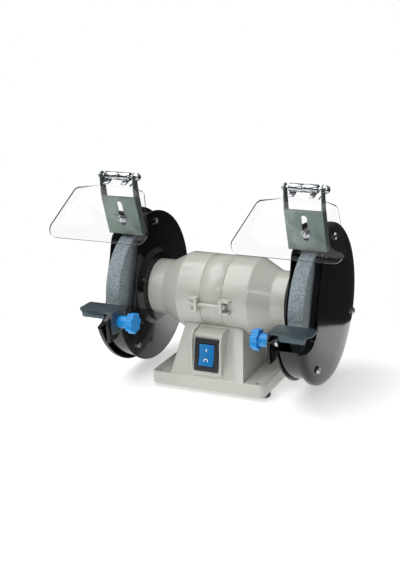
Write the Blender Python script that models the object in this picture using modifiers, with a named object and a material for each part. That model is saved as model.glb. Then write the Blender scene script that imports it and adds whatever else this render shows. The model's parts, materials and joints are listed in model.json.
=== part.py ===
"""Bench grinder, twin wheels on one motor, metres, +Z up, X along the shaft."""

import math

import bmesh
import bpy
from mathutils import Matrix, Vector

MM = 0.001
GAP = 0.3 * MM                      # play between pieces that touch
WELD = 0.0001
ROUND = 32                          # facets round a large turned piece
SMALL = 12                          # facets round a small turned piece

# ---- wheels, and the distances that follow from them
WHEEL_R = 100 * MM
WHEEL_W = 25 * MM
WHEEL_X = 157.8 * MM
PAN_FACE = WHEEL_X - 25.4 * MM
PAN_BOSS = PAN_FACE - 9.7 * MM
COVER_RIM_X = WHEEL_X + 10.2 * MM
GUARD_R = WHEEL_R + 30.5 * MM

# ---- shaft line and base
SHAFT_H = 147 * MM
FRONT_REACH = 156 * MM
SHAFT_Y = (FRONT_REACH - GUARD_R + 0.5 * MM) / 2
FOOT_H = 8 * MM
FOOT_R = 11 * MM
FOOT_X = 88 * MM
FOOT_Y = 58 * MM
BOSS_PAD_R = 10 * MM
BASE_HALF_X = 98.6 * MM
BASE_HALF_Y = 88.4 * MM
BASE_T = 22 * MM
BASE_WALL = 6 * MM
BASE_HOLE_X = 86.4 * MM
BASE_HOLE_Y = 79.5 * MM
BASE_HOLE_R = 3.4 * MM
PED_FOOT_X = 64.5 * MM
PED_TOP_X = 50.5 * MM
PED_TOP_Y = 52 * MM
PED_TOP_Z = -39 * MM
PED_WALL = 6 * MM

# ---- motor
MOTOR_R = 64 * MM
MOTOR_WALL = 4 * MM
BAND_HALF = 19.3 * MM
DRUM_END = 63.3 * MM
CONE_END = 94.5 * MM
COLLAR_R = 46.4 * MM
COLLAR_END = PAN_BOSS - 0.4 * MM
SHAFT_R = 10 * MM
BEARING_OD_R = 23.5 * MM
BEARING_MID_OUT_R = BEARING_OD_R - 3.9 * MM
BEARING_MID_IN_R = SHAFT_R + 3.6 * MM
BEARING_W = 14 * MM
BEARING_X = COLLAR_END - 22.3 * MM
SPINDLE_R = 8 * MM
SPINDLE_START = PAN_BOSS + 1.3 * MM
SHAFT_END = COVER_RIM_X + 15 * MM
SHAFT_HOLE = 0.8 * MM
ROTOR_R = 33 * MM
STATOR_IN_R = ROTOR_R + 0.6 * MM
STACK_HALF = 27 * MM
SLOTS = 12
SLOT_MID_R = 43 * MM
WINDING_R = 3.2 * MM
SLOT_R = WINDING_R + GAP
END_TURN_OUT_R = MOTOR_R - 14 * MM
END_TURN_IN_R = 37 * MM
END_TURN_L = 14 * MM
TIE_R = MOTOR_R + 5.2 * MM
TIE_ROD_R = 2.6 * MM
TIE_LUG_X = 33 * MM
TIE_LUG_Z = 11.5 * MM
TIE_LUG_TOP = MOTOR_R + 11.5 * MM
TIE_WALL = 5 * MM
TIE_RIB = 3 * MM

# ---- switch
CHEEK_X = 26.5 * MM
CHEEK_T = 2.5 * MM
SWITCH_HALF_X = 21.4 * MM
SWITCH_LEN = 54 * MM
ROCKER_HALF_X = 13 * MM
ROCKER_LEN = 36 * MM
PANEL_TOP = (-76.0 * MM, -50.0 * MM)
PANEL_FOOT = (-87.6 * MM, -109.0 * MM)

# ---- guards
FLANGE_R = 31 * MM
PAN_R = WHEEL_R + 26.8 * MM
PAN_T = 1.6 * MM
BOSS_R = 58 * MM
BOSS_FOOT_R = 64 * MM
BAND_R = WHEEL_R + 22.4 * MM
BAND_T = 2 * MM
COVER_FACE = COVER_RIM_X + 12 * MM
COVER_CROWN = COVER_RIM_X + 17.5 * MM
COVER_FACE_R = GUARD_R - 7 * MM
COVER_CROWN_R = 96 * MM
COVER_T = 2 * MM
COVER_BOLT_R = WHEEL_R + 10 * MM
COVER_BOLT_AT = (95, 203, -49)
GUARD_FRONT = (
    (-41, 96.5), (-48, 93), (-54, 60), (-66, 30), (-74, 0), (-78, -18),
    (-86, -33), (-100, -41), (-116, -42.5))
GUARD_REACH = 160
GUARD_FLANGE_T = 1.6
GUARD_FLANGE_X = COVER_RIM_X + 5 * MM

# ---- tool rest
REST_AXIS = Vector((-127.5, -22.7)) * MM
REST_PLATE_T = 2.5 * MM
REST_TOP = -3.8 * MM
REST_FRONT = -144.4 * MM
REST_BACK = -104.4 * MM
REST_IN = PAN_FACE - 1.1 * MM
REST_OUT = REST_IN + 66.1 * MM
REST_LIP_H = 11.6 * MM
REST_LIP_IN = 15.7 * MM
REST_LIP_OUT = 7.4 * MM
REST_LIP_TAPER = 2 * MM
REST_SLIDE = 11 * MM
REST_FLANGE_FOOT = -39.8 * MM
REST_FLANGE_FRONT = -149.7 * MM
REST_FLANGE_BACK = -110 * MM
REST_BOLT_R = 4 * MM
ARM_IN = PAN_FACE + 1.9 * MM
ARM_T = 4 * MM
KNOB_R = 17 * MM
KNOB_LOBES = 7

# ---- shield bracket, hinge and shield
LEAN = math.radians(16.3)
BRACKET_FOOT = Vector((-44.1, 97.9)) * MM
BRACKET_H = 69.8 * MM
BRACKET_HALF = 30.8 * MM
BRACKET_T = 2 * MM
BRACKET_DEPTH = 16 * MM
BRACKET_SCREW_UP = 29.5 * MM
BRACKET_SLOT_TOP = 60.8 * MM
BRACKET_SLOT_W = 9.4 * MM
HINGE = Vector((-58, 197.5)) * MM
PIN_R = 3 * MM
PIN_HALF = 32 * MM
SLEEVE_R = 6.7 * MM
SLEEVE_HALF = 22.5 * MM
SHIELD_T = 3 * MM
SHIELD_TOP = Vector((-60, 187)) * MM
SHIELD_BEND = Vector((-87, 180.5)) * MM
SHIELD_FOOT = Vector((-141, 111)) * MM
SHIELD_TOP_X = 27 * MM
SHIELD_NECK = 0.36
SHIELD_BEND_X = 62 * MM
SHIELD_WIDE_X = 88 * MM
SHIELD_FOOT_X = 86 * MM
SHIELD_CORNER = 14 * MM


# ---- scene and placing

def clear_scene():
    """Start from an empty scene."""
    for obj in list(bpy.data.objects):
        bpy.data.objects.remove(obj, do_unlink=True)


def collection(name, hidden=False):
    """A named collection, hidden from the result when it holds cutters."""
    made = bpy.data.collections.new(name)
    bpy.context.scene.collection.children.link(made)
    made.hide_render = hidden
    return made


def finish_colour(name, rgb, metal=0.0, rough=0.5):
    """One Principled finish."""
    made = bpy.data.materials.new(name)
    made.use_nodes = True
    shader = made.node_tree.nodes["Principled BSDF"]
    shader.inputs["Base Color"].default_value = (*rgb, 1)
    shader.inputs["Metallic"].default_value = metal
    shader.inputs["Roughness"].default_value = rough
    return made


def empty(name, parent, at):
    """A frame that pieces hang from; `at` is in the parent's frame."""
    made = bpy.data.objects.new(name, None)
    PARTS.objects.link(made)
    made.parent = parent
    made.location = at
    return made


def wrap(name, mesh, parent, at=(0, 0, 0)):
    """A part object holding the mesh, hung from `parent`."""
    made = bpy.data.objects.new(name, mesh)
    PARTS.objects.link(made)
    made.parent = parent
    made.location = at
    return made


def tool(obj):
    """Move an object among the cutters."""
    PARTS.objects.unlink(obj)
    TOOLS.objects.link(obj)
    obj.hide_render = True
    obj.display_type = "WIRE"
    return obj


def boolean(obj, other, kind):
    """Join to, cut from or keep the overlap with another solid."""
    tool(other)
    mod = obj.modifiers.new(kind.lower(), "BOOLEAN")
    mod.operation = kind
    mod.solver = "EXACT"
    mod.object = other
    return obj


def cut(obj, *others):
    """Take each other solid away."""
    for other in others:
        boolean(obj, other, "DIFFERENCE")
    return obj


def join(obj, *others):
    """Add each other solid."""
    for other in others:
        boolean(obj, other, "UNION")
    return obj


def soften(obj, width, segments=1, angle=40):
    """Round the edges sharper than `angle`."""
    mod = obj.modifiers.new("bevel", "BEVEL")
    mod.width = width
    mod.segments = segments
    mod.limit_method = "ANGLE"
    mod.angle_limit = math.radians(angle)
    return obj


def dress(obj, material):
    """Give a piece its finish and smooth shading with crisp edges."""
    obj.data.materials.clear()
    obj.data.materials.append(material)
    obj.data.shade_smooth()
    if hasattr(obj.data, "set_sharp_from_angle"):
        obj.data.set_sharp_from_angle(angle=math.radians(35))
    return obj


# ---- shapes

SIDE = Matrix(((0, 0, 1), (1, 0, 0), (0, 1, 0))).to_4x4()
FACING = Matrix(((1, 0, 0), (0, 0, -1), (0, 1, 0))).to_4x4()


def from_bmesh(name, bm):
    """A mesh from a working mesh."""
    mesh = bpy.data.meshes.new(name)
    bm.to_mesh(mesh)
    bm.free()
    return mesh


def block(name, parent, low, high):
    """A box between two corners in the parent's frame."""
    low, high = Vector(low), Vector(high)
    bm = bmesh.new()
    bmesh.ops.create_cube(bm, size=1)
    size = high - low
    bmesh.ops.scale(bm, verts=bm.verts, vec=size)
    bmesh.ops.translate(bm, verts=bm.verts, vec=(low + high) / 2)
    return wrap(name, from_bmesh(name, bm), parent)


def rod(name, parent, start, end, radius, facets=SMALL, radius_end=None):
    """A round bar between two points."""
    start, end = Vector(start), Vector(end)
    way = end - start
    bm = bmesh.new()
    bmesh.ops.create_cone(bm, cap_ends=True, segments=facets, radius1=radius,
                          radius2=radius if radius_end is None else radius_end,
                          depth=way.length)
    turn = way.to_track_quat("Z", "Y").to_matrix().to_4x4()
    bmesh.ops.transform(bm, verts=bm.verts, matrix=Matrix.Translation((start + end) / 2) @ turn)
    return wrap(name, from_bmesh(name, bm), parent)


def turned(name, parent, profile, facets=ROUND, at=(0, 0, 0)):
    """A piece turned about the X axis from (radius, x) corners, in any order of travel."""
    twice = sum(a[0] * b[1] - b[0] * a[1]
                for a, b in zip(profile, list(profile[1:]) + [profile[0]]))
    corners = profile if twice < 0 else list(reversed(profile))
    mesh = bpy.data.meshes.new(name)
    closed = all(r > WELD for r, _ in corners)
    points = [(r, 0, x) for r, x in corners]
    start = 0
    if not closed:
        start = next(i for i in range(len(corners))
                     if corners[i][0] <= WELD and corners[i - 1][0] <= WELD)
        points = points[start:] + points[:start]
    edges = [(i, i + 1) for i in range(len(points) - 1)]
    if closed:
        edges.append((len(points) - 1, 0))
    mesh.from_pydata(points, edges, [])
    obj = wrap(name, mesh, parent, at)
    obj.rotation_euler = (0, math.pi / 2, 0)
    mod = obj.modifiers.new("turn", "SCREW")
    mod.axis = "Z"
    mod.steps = facets
    mod.render_steps = facets
    mod.use_merge_vertices = True
    mod.merge_threshold = WELD / 10
    return obj


def mirrored(profile, side):
    """Profile corners on the chosen side of the middle."""
    return [(r, x * side) for r, x in profile]


def slab(name, parent, outlines, near, far, frame=SIDE):
    """A flat outline (with holes after the first loop) made thick from `near` to `far`."""
    curve = bpy.data.curves.new(name, "CURVE")
    curve.dimensions = "2D"
    curve.fill_mode = "BOTH"
    curve.extrude = abs(far - near) / 2
    for loop in outlines:
        spline = curve.splines.new("POLY")
        spline.points.add(len(loop) - 1)
        for point, (u, v) in zip(spline.points, loop):
            point.co = (u, v, 0, 1)
        spline.use_cyclic_u = True
    held = bpy.data.objects.new(name + "_outline", curve)
    PARTS.objects.link(held)
    bpy.context.view_layer.update()
    ready = held.evaluated_get(bpy.context.evaluated_depsgraph_get())
    mesh = bpy.data.meshes.new_from_object(ready)
    bpy.data.objects.remove(held)
    bm = bmesh.new()
    bm.from_mesh(mesh)
    bmesh.ops.remove_doubles(bm, verts=bm.verts, dist=WELD / 10)
    bmesh.ops.translate(bm, verts=bm.verts, vec=(0, 0, (near + far) / 2))
    bmesh.ops.transform(bm, verts=bm.verts, matrix=frame)
    bmesh.ops.recalc_face_normals(bm, faces=bm.faces)
    return wrap(name, from_bmesh(name, bm), parent)


def rounded(corners, radius, steps=3):
    """The outline with each corner rounded, `radius` one value or one per corner."""
    out = []
    many = radius if isinstance(radius, (list, tuple)) else [radius] * len(corners)
    count = len(corners)
    for i, (corner, size) in enumerate(zip(corners, many)):
        here = Vector(corner)
        back = Vector(corners[i - 1]) - here
        ahead = Vector(corners[(i + 1) % count]) - here
        half = back.angle(ahead) / 2
        if size <= 0:
            out.append(tuple(here))
            continue
        reach = min(size / math.tan(half), back.length * 0.48, ahead.length * 0.48)
        first = here + back.normalized() * reach
        last = here + ahead.normalized() * reach
        for k in range(steps + 1):
            t = k / steps
            out.append(tuple(first * (1 - t) ** 2 + here * 2 * t * (1 - t) + last * t * t))
    return out


def ring(centre, radius, count=SMALL):
    """A round outline."""
    return [(centre[0] + radius * math.cos(math.tau * k / count),
             centre[1] + radius * math.sin(math.tau * k / count)) for k in range(count)]


def stadium(start, end, radius, steps=6):
    """A round-ended slot outline between two centres."""
    start, end = Vector(start), Vector(end)
    base = math.atan2(end.y - start.y, end.x - start.x)
    out = []
    for centre, first in ((end, base - math.pi / 2), (start, base + math.pi / 2)):
        for k in range(steps + 1):
            angle = first + math.pi * k / steps
            out.append((centre.x + radius * math.cos(angle), centre.y + radius * math.sin(angle)))
    return out


def spoke(angle, radius, x=0.0):
    """A point round the shaft, the angle counted in degrees upward from the front."""
    a = math.radians(angle)
    return Vector((x, -radius * math.cos(a), radius * math.sin(a)))


# ---- base and switch

def frustum(name, parent, low, high):
    """A tapered block between two level rectangles, each (half x, half y, z)."""
    bm = bmesh.new()
    rows = []
    for half_x, half_y, z in (low, high):
        rows.append([bm.verts.new((sx * half_x, sy * half_y, z))
                     for sx, sy in ((-1, -1), (1, -1), (1, 1), (-1, 1))])
    bm.faces.new(reversed(rows[0]))
    bm.faces.new(rows[1])
    for i in range(4):
        j = (i + 1) % 4
        bm.faces.new((rows[0][i], rows[0][j], rows[1][j], rows[1][i]))
    bmesh.ops.recalc_face_normals(bm, faces=bm.faces)
    return wrap(name, from_bmesh(name, bm), parent)


BASE_LOW = FOOT_H - SHAFT_H
BASE_TOP = BASE_LOW + BASE_T
BASE_ROOF = BASE_TOP - BASE_WALL
BODY_REACH = 2 * BASE_T
CAVITY_TOP = -(MOTOR_R + GAP + PED_WALL)
HOUSING_X = CHEEK_X - CHEEK_T / 2
SWITCH_HOLE_X = 19 * MM
SWITCH_HOLE_HALF = 24 * MM
SWITCH_HOLE_DEEP = 40 * MM
GLAND_X = 60 * MM
GLAND_R = 6.5 * MM
GLAND_HEX_R = 9.5 * MM
GLAND_Z = BASE_LOW + BASE_T / 2
PANEL_MID = (Vector(PANEL_TOP) + Vector(PANEL_FOOT)) / 2
PANEL_TILT = -math.atan2(PANEL_TOP[0] - PANEL_FOOT[0], PANEL_TOP[1] - PANEL_FOOT[1])


def base_casting(shaft, switch, finish):
    """Foot plate, hollow pedestal, saddle, switch cheeks and switch housing in one casting."""
    plate = slab("base_casting", shaft, [rounded([
        (-BASE_HALF_X, -BASE_HALF_Y), (BASE_HALF_X, -BASE_HALF_Y),
        (BASE_HALF_X, BASE_HALF_Y), (-BASE_HALF_X, BASE_HALF_Y)], 9 * MM)],
        BASE_LOW, BASE_TOP, Matrix.Identity(4))
    soften(plate, 2 * MM, 1, 60)
    cut(plate, block("plate_cavity", shaft,
                     (BASE_WALL - BASE_HALF_X, BASE_WALL - BASE_HALF_Y, BASE_LOW - MM),
                     (BASE_HALF_X - BASE_WALL, BASE_HALF_Y - BASE_WALL, BASE_ROOF)))
    for sx in (-1, 1):
        for sy in (-1, 1):
            join(plate, rod("foot_pad", shaft, (sx * FOOT_X, sy * FOOT_Y, BASE_LOW),
                            (sx * FOOT_X, sy * FOOT_Y, BASE_ROOF + MM), BOSS_PAD_R))
    join(plate, frustum("pedestal", shaft, (PED_FOOT_X, BASE_HALF_Y - 0.6 * MM, BASE_TOP - MM),
                        (PED_TOP_X, PED_TOP_Y, PED_TOP_Z)))
    box = rounded([(-54 * MM, -41 * MM), (PANEL_TOP[0], PANEL_TOP[1] + 3 * MM), PANEL_TOP,
                   PANEL_FOOT, (-84 * MM, BASE_TOP - MM), (-50 * MM, BASE_TOP - MM),
                   (-40 * MM, -60 * MM)], [0, 6 * MM, 0, 0, 0, 0, 0])
    join(plate, slab("switch_box", shaft, [box], -HOUSING_X, HOUSING_X))
    cheek = rounded([(-55 * MM, -39.5 * MM), (-79 * MM, -42 * MM), (-87 * MM, -57 * MM),
                     (-87.4 * MM, -102 * MM), (-86.4 * MM, BASE_TOP - MM),
                     (-52 * MM, BASE_TOP - MM), (-40 * MM, -60 * MM)],
                    [0, 5 * MM, 5 * MM, 4 * MM, 0, 0, 0])
    for side in (-1, 1):
        join(plate, slab("cheek", shaft, [cheek], side * CHEEK_X,
                         side * (CHEEK_X - CHEEK_T)))
    cut(plate, frustum("pedestal_cavity", shaft,
                       (PED_FOOT_X - PED_WALL, BASE_HALF_Y - BASE_WALL - MM, BASE_LOW - MM),
                       (PED_TOP_X - PED_WALL, PED_TOP_Y - PED_WALL, CAVITY_TOP)))
    cut(plate, rod("saddle", shaft, (-BASE_HALF_X, 0, 0), (BASE_HALF_X, 0, 0),
                   MOTOR_R + GAP, ROUND))
    cut(plate, block("switch_hole", switch, (-SWITCH_HOLE_X, -MM * 9, -SWITCH_HOLE_HALF),
                     (SWITCH_HOLE_X, SWITCH_HOLE_DEEP, SWITCH_HOLE_HALF)))
    cut(plate, rod("gland_hole", shaft, (GLAND_X, BASE_HALF_Y - BODY_REACH / 2, GLAND_Z),
                   (GLAND_X, BASE_HALF_Y + BODY_REACH, GLAND_Z), GLAND_R + GAP))
    for sx in (-1, 1):
        for y in (-BASE_HOLE_Y, 0, BASE_HOLE_Y):
            cut(plate, rod("bench_hole", shaft, (sx * BASE_HOLE_X, y, BASE_LOW - BODY_REACH),
                           (sx * BASE_HOLE_X, y, BASE_TOP + BODY_REACH), BASE_HOLE_R, 10))
    return dress(plate, finish)


def feet(shaft, finish):
    """Four rubber feet under the corners of the plate."""
    for depth, sy in (("front", -1), ("rear", 1)):
        for hand, sx in (("left", -1), ("right", 1)):
            foot = rod(f"foot_{depth}_{hand}", shaft, (sx * FOOT_X, sy * FOOT_Y, -SHAFT_H),
                       (sx * FOOT_X, sy * FOOT_Y, BASE_LOW - GAP), FOOT_R * 0.9,
                       SMALL, FOOT_R)
            dress(soften(foot, MM, 1), finish)


SWITCH_FACE = -3 * MM
SWITCH_BODY_X = 18.5 * MM
SWITCH_BODY_HALF = 23.5 * MM
SWITCH_BODY_DEEP = 18 * MM
ROCKER_PIVOT = 4 * MM
ROCKER_DEEP = 6 * MM
ROCKER_PLAY = 0.8 * MM
TERMINAL = (1 * MM, 8 * MM, 3 * MM)


def switch_housing(switch, finish):
    """Black bezel and body of the switch, with the pocket its rocker sits in."""
    bezel = block("switch_housing", switch, (-SWITCH_HALF_X, SWITCH_FACE, -SWITCH_LEN / 2),
                  (SWITCH_HALF_X, -GAP, SWITCH_LEN / 2))
    soften(bezel, 1.2 * MM, 1)
    join(bezel, block("switch_body", switch, (-SWITCH_BODY_X, -MM, -SWITCH_BODY_HALF),
                      (SWITCH_BODY_X, SWITCH_BODY_DEEP, SWITCH_BODY_HALF)))
    cut(bezel, block("rocker_pocket", switch,
                     (-ROCKER_HALF_X - ROCKER_PLAY, -BASE_WALL, -ROCKER_LEN / 2 - ROCKER_PLAY),
                     (ROCKER_HALF_X + ROCKER_PLAY, SWITCH_BODY_DEEP - 3 * MM,
                      ROCKER_LEN / 2 + ROCKER_PLAY)))
    for x in (-8 * MM, 8 * MM):
        for z in (-12 * MM, 0, 12 * MM):
            join(bezel, block("terminal", switch,
                              (x - TERMINAL[0] / 2, SWITCH_BODY_DEEP - MM, z - TERMINAL[2]),
                              (x + TERMINAL[0] / 2, SWITCH_BODY_DEEP + TERMINAL[1],
                               z + TERMINAL[2])))
    return dress(bezel, finish)


def switch_rocker(switch, finish):
    """The rocker, its top a shallow V about the pivot line."""
    pivot = empty("rocker_pivot", switch, (0, ROCKER_PIVOT, 0))
    half = ROCKER_LEN / 2
    face = SWITCH_FACE - ROCKER_PIVOT
    outline = [(face - 2.5 * MM, -half), (face + 0.6 * MM, 0), (face - 1.2 * MM, half),
               (ROCKER_DEEP, half * 0.6), (ROCKER_DEEP, -half * 0.6)]
    body = slab("switch_rocker", pivot, [outline], -ROCKER_HALF_X, ROCKER_HALF_X)
    return dress(soften(body, 0.8 * MM, 1), finish)


CAP_R = 17 * MM
CAP_HALF = 32 * MM
CAP_Y = 28 * MM
CAP_Z = BASE_LOW + 2 * CAP_R


def base_fittings(shaft, finishes):
    """The run capacitor in the pedestal and the cable gland in the plate's rear wall."""
    profile = [(0, CAP_HALF), (CAP_R - MM, CAP_HALF), (CAP_R, CAP_HALF - MM),
               (CAP_R, -CAP_HALF), (0, -CAP_HALF)]
    dress(turned("capacitor", shaft, profile, 20, (0, CAP_Y, CAP_Z)), finishes["plastic"])
    wall = BASE_HALF_Y
    gland = rod("cable_gland", shaft, (GLAND_X, wall + GAP, GLAND_Z),
                (GLAND_X, wall + 7 * MM, GLAND_Z), GLAND_HEX_R, 6)
    join(gland, rod("gland_neck", shaft, (GLAND_X, wall - 12 * MM, GLAND_Z),
                    (GLAND_X, wall + MM, GLAND_Z), GLAND_R))
    join(gland, rod("gland_nose", shaft, (GLAND_X, wall + 6 * MM, GLAND_Z),
                    (GLAND_X, wall + 14 * MM, GLAND_Z), GLAND_R, SMALL, GLAND_R * 0.85))
    cut(gland, rod("gland_bore", shaft, (GLAND_X, wall - BODY_REACH, GLAND_Z),
                   (GLAND_X, wall + BODY_REACH, GLAND_Z), GLAND_R / 2, 16))
    dress(gland, finishes["rubber"])


# ---- motor

def tie_lug(shaft, side, front):
    """One boxed lug for a tie bolt: a wall the bolt passes and two ribs behind it."""
    near = side * (BAND_HALF + GAP)
    wall = side * (BAND_HALF + GAP + TIE_WALL)
    far = side * (TIE_LUG_X + 3 * MM if side > 0 else TIE_LUG_X)
    sunk = (MOTOR_R - 2.5 * MM) * front
    top = TIE_LUG_TOP * front
    made = block("lug_wall", shaft, (min(near, wall), min(sunk, top), -TIE_LUG_Z),
                 (max(near, wall), max(sunk, top), TIE_LUG_Z))
    ribs = []
    for up in (-1, 1):
        low = sorted((up * TIE_LUG_Z, up * (TIE_LUG_Z - TIE_RIB)))
        ribs.append(block("lug_rib", shaft,
                          (min(wall - side * MM, far), min(sunk * 0.97, top * 0.985), low[0]),
                          (max(wall - side * MM, far), max(sunk * 0.97, top * 0.985), low[1])))
    return made, ribs


def end_bell(shaft, hand, side, finish):
    """One motor end: drum, cone, collar and the bearing seat, with a lug at front and back."""
    inner = MOTOR_R - MOTOR_WALL
    seat = BEARING_X + BEARING_W + GAP
    profile = [
        (MOTOR_R, BAND_HALF + GAP / 2), (MOTOR_R, DRUM_END - 1.5 * MM),
        (MOTOR_R - 0.9 * MM, DRUM_END), (COLLAR_R + 0.4 * MM, CONE_END - MM),
        (COLLAR_R, CONE_END + MM), (COLLAR_R, COLLAR_END), (SHAFT_R + SHAFT_HOLE, COLLAR_END),
        (SHAFT_R + SHAFT_HOLE, seat), (BEARING_OD_R + GAP / 2, seat),
        (BEARING_OD_R + GAP / 2, BEARING_X - MM), (BEARING_OD_R + 6 * MM, BEARING_X - MM),
        (BEARING_OD_R + 6 * MM, seat - 8 * MM), (COLLAR_R - MOTOR_WALL, seat - 8 * MM),
        (COLLAR_R - MOTOR_WALL, CONE_END - MM), (inner, DRUM_END - 2 * MM),
        (inner, BAND_HALF + GAP / 2)]
    bell = turned(f"end_bell_{hand}", shaft, mirrored(profile, side))
    for front in (-1, 1):
        wall, ribs = tie_lug(shaft, side, front)
        join(bell, wall, *ribs)
        cut(bell, rod("tie_hole", shaft, (side * BAND_HALF * 0.5, front * TIE_R, 0),
                      (side * TIE_LUG_X * 1.5, front * TIE_R, 0), TIE_ROD_R + 2 * GAP, 10))
    cut(bell, rod("bell_bore", shaft, (side * BAND_HALF * 0.5, 0, 0),
                  (side * (DRUM_END - 4 * MM), 0, 0), inner, ROUND))
    return dress(bell, finish)


def stator(shaft, finishes):
    """The plain band, the slotted lamination stack and the windings in its slots."""
    band = [(MOTOR_R - 0.4 * MM, -BAND_HALF), (MOTOR_R - 0.4 * MM, BAND_HALF),
            (MOTOR_R - MOTOR_WALL, BAND_HALF), (MOTOR_R - MOTOR_WALL, -BAND_HALF)]
    dress(turned("stator_band", shaft, band), finishes["enamel"])
    outer = MOTOR_R - MOTOR_WALL - GAP * 2.5
    stack = [(outer, -STACK_HALF), (outer, STACK_HALF),
             (STATOR_IN_R, STACK_HALF), (STATOR_IN_R, -STACK_HALF)]
    core = turned("stator_core", shaft, stack)
    ring_l = [(END_TURN_OUT_R, STACK_HALF + GAP), (END_TURN_OUT_R, STACK_HALF + END_TURN_L),
              (END_TURN_IN_R, STACK_HALF + END_TURN_L), (END_TURN_IN_R, STACK_HALF + GAP)]
    coils = turned("stator_winding", shaft, mirrored(ring_l, 1), 20)
    join(coils, turned("end_turn", shaft, mirrored(ring_l, -1), 20))
    for k in range(SLOTS):
        at = spoke(360 * (k + 0.5) / SLOTS, SLOT_MID_R)
        reach = Vector((STACK_HALF + END_TURN_L, 0, 0))
        cut(core, rod("slot", shaft, at - reach, at + reach, SLOT_R, 8))
        reach = Vector((STACK_HALF + END_TURN_L / 2, 0, 0))
        join(coils, rod("slot_bar", shaft, at - reach, at + reach, WINDING_R, 8))
    dress(core, finishes["steel"])
    dress(coils, finishes["copper"])


def tie_bolt(shaft, where, front, finish):
    """A long screw over the band with its pan head at the right and its nut at the left."""
    seat = BAND_HALF + GAP + TIE_WALL + GAP
    y = front * TIE_R
    bolt = rod(f"tie_bolt_{where}", shaft, (-37 * MM, y, 0), (seat + MM, y, 0), TIE_ROD_R, 10)
    join(bolt, rod("tie_head", shaft, (seat, y, 0), (seat + 4.2 * MM, y, 0), 4.7 * MM,
                   SMALL, 4.2 * MM))
    cut(bolt, block("tie_slot", shaft, (seat + 3 * MM, y - 6 * MM, -0.6 * MM),
                    (seat + 6 * MM, y + 6 * MM, 0.6 * MM)))
    join(bolt, rod("tie_nut", shaft, (-seat - 4 * MM, y, 0), (-seat, y, 0), 4.7 * MM, 6))
    return dress(bolt, finish)


def bearings(shaft, rotor, hand, side, finishes):
    """The outer race in the bell and, on the shaft, the inner race with balls and cage."""
    near = BEARING_X
    far = BEARING_X + BEARING_W
    outer = [(BEARING_OD_R, near), (BEARING_OD_R, far), (BEARING_MID_OUT_R, far),
             (BEARING_MID_OUT_R, near)]
    dress(turned(f"bearing_outer_{hand}", shaft, mirrored(outer, side), 20), finishes["steel"])
    bore = SHAFT_R + GAP / 2
    cage = BEARING_MID_OUT_R - GAP
    inner = [(BEARING_MID_IN_R, near), (BEARING_MID_IN_R, near + 3 * MM), (cage, near + 4 * MM),
             (cage, far - 4 * MM), (BEARING_MID_IN_R, far - 3 * MM), (BEARING_MID_IN_R, far),
             (bore, far), (bore, near)]
    dress(turned(f"bearing_inner_{hand}", rotor, mirrored(inner, side), 20), finishes["steel"])


def rotor_pieces(rotor, finishes):
    """The shaft and the squirrel-cage core on it."""
    shaft_line = [(0, SHAFT_END), (SPINDLE_R - 0.8 * MM, SHAFT_END),
                  (SPINDLE_R, SHAFT_END - 0.8 * MM), (SPINDLE_R, SPINDLE_START),
                  (SHAFT_R, SPINDLE_START), (SHAFT_R, -SPINDLE_START),
                  (SPINDLE_R, -SPINDLE_START), (SPINDLE_R, 0.8 * MM - SHAFT_END),
                  (SPINDLE_R - 0.8 * MM, -SHAFT_END), (0, -SHAFT_END)]
    dress(turned("rotor_shaft", rotor, shaft_line, 20), finishes["steel"])
    bore = SHAFT_R + GAP / 2
    end = STACK_HALF + 9 * MM
    core = [(ROTOR_R, -STACK_HALF), (ROTOR_R, STACK_HALF), (ROTOR_R - 2 * MM, STACK_HALF),
            (ROTOR_R - 3 * MM, end), (ROTOR_R - 12 * MM, end), (ROTOR_R - 12 * MM, STACK_HALF),
            (bore, STACK_HALF), (bore, -STACK_HALF), (ROTOR_R - 12 * MM, -STACK_HALF),
            (ROTOR_R - 12 * MM, -end), (ROTOR_R - 3 * MM, -end),
            (ROTOR_R - 2 * MM, -STACK_HALF)]
    dress(turned("rotor_core", rotor, core, 24), finishes["steel"])


def wheel_set(rotor, hand, side, finishes):
    """Inner flange, grinding wheel, outer flange and nut on one spindle."""
    inside = WHEEL_X - WHEEL_W / 2
    outside = WHEEL_X + WHEEL_W / 2
    bore = SPINDLE_R + GAP / 2
    edge = 0.8 * MM
    wheel = [(WHEEL_R - edge, inside), (WHEEL_R, inside + edge), (WHEEL_R, outside - edge),
             (WHEEL_R - edge, outside), (bore, outside), (bore, inside)]
    dress(turned(f"grinding_wheel_{hand}", rotor, mirrored(wheel, side), 40), finishes["grit"])
    disc = inside - GAP - 5.2 * MM
    inner = [(14 * MM, SPINDLE_START + GAP), (14 * MM, disc), (FLANGE_R, disc + 1.2 * MM),
             (FLANGE_R, inside - GAP), (bore, inside - GAP), (bore, SPINDLE_START + GAP)]
    dress(turned(f"inner_flange_{hand}", rotor, mirrored(inner, side), 20), finishes["steel"])
    start = outside + GAP
    outer = [(FLANGE_R, start), (FLANGE_R, start + 3.4 * MM), (20 * MM, start + 5 * MM),
             (bore, start + 5 * MM), (bore, start)]
    dress(turned(f"outer_flange_{hand}", rotor, mirrored(outer, side), 20), finishes["steel"])
    nut = rod(f"arbor_nut_{hand}", rotor, (side * (start + 5 * MM + GAP), 0, 0),
              (side * (SHAFT_END - 0.6 * MM), 0, 0), 12.5 * MM, 6)
    soften(nut, 0.8 * MM, 1)
    cut(nut, rod("nut_bore", rotor, (side * WHEEL_X, 0, 0), (side * (SHAFT_END + BASE_T), 0, 0),
                 bore, 16))
    dress(nut, finishes["steel"])


# ---- guards

def guard_outline(inset=0.0):
    """The front line of a guard seen from its side, moved back by `inset` millimetres."""
    return [((y + inset) * MM, z * MM) for y, z in GUARD_FRONT]


def front_cutter(name, shaft, side, near, far):
    """Everything in front of the guard's front line, between two distances from the middle."""
    line = guard_outline()
    reach = GUARD_REACH * MM
    loop = [(line[0][0], reach)] + line + [(-reach, line[-1][1]), (-reach, reach)]
    return slab(name, shaft, [loop], side * near, side * far)


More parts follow.
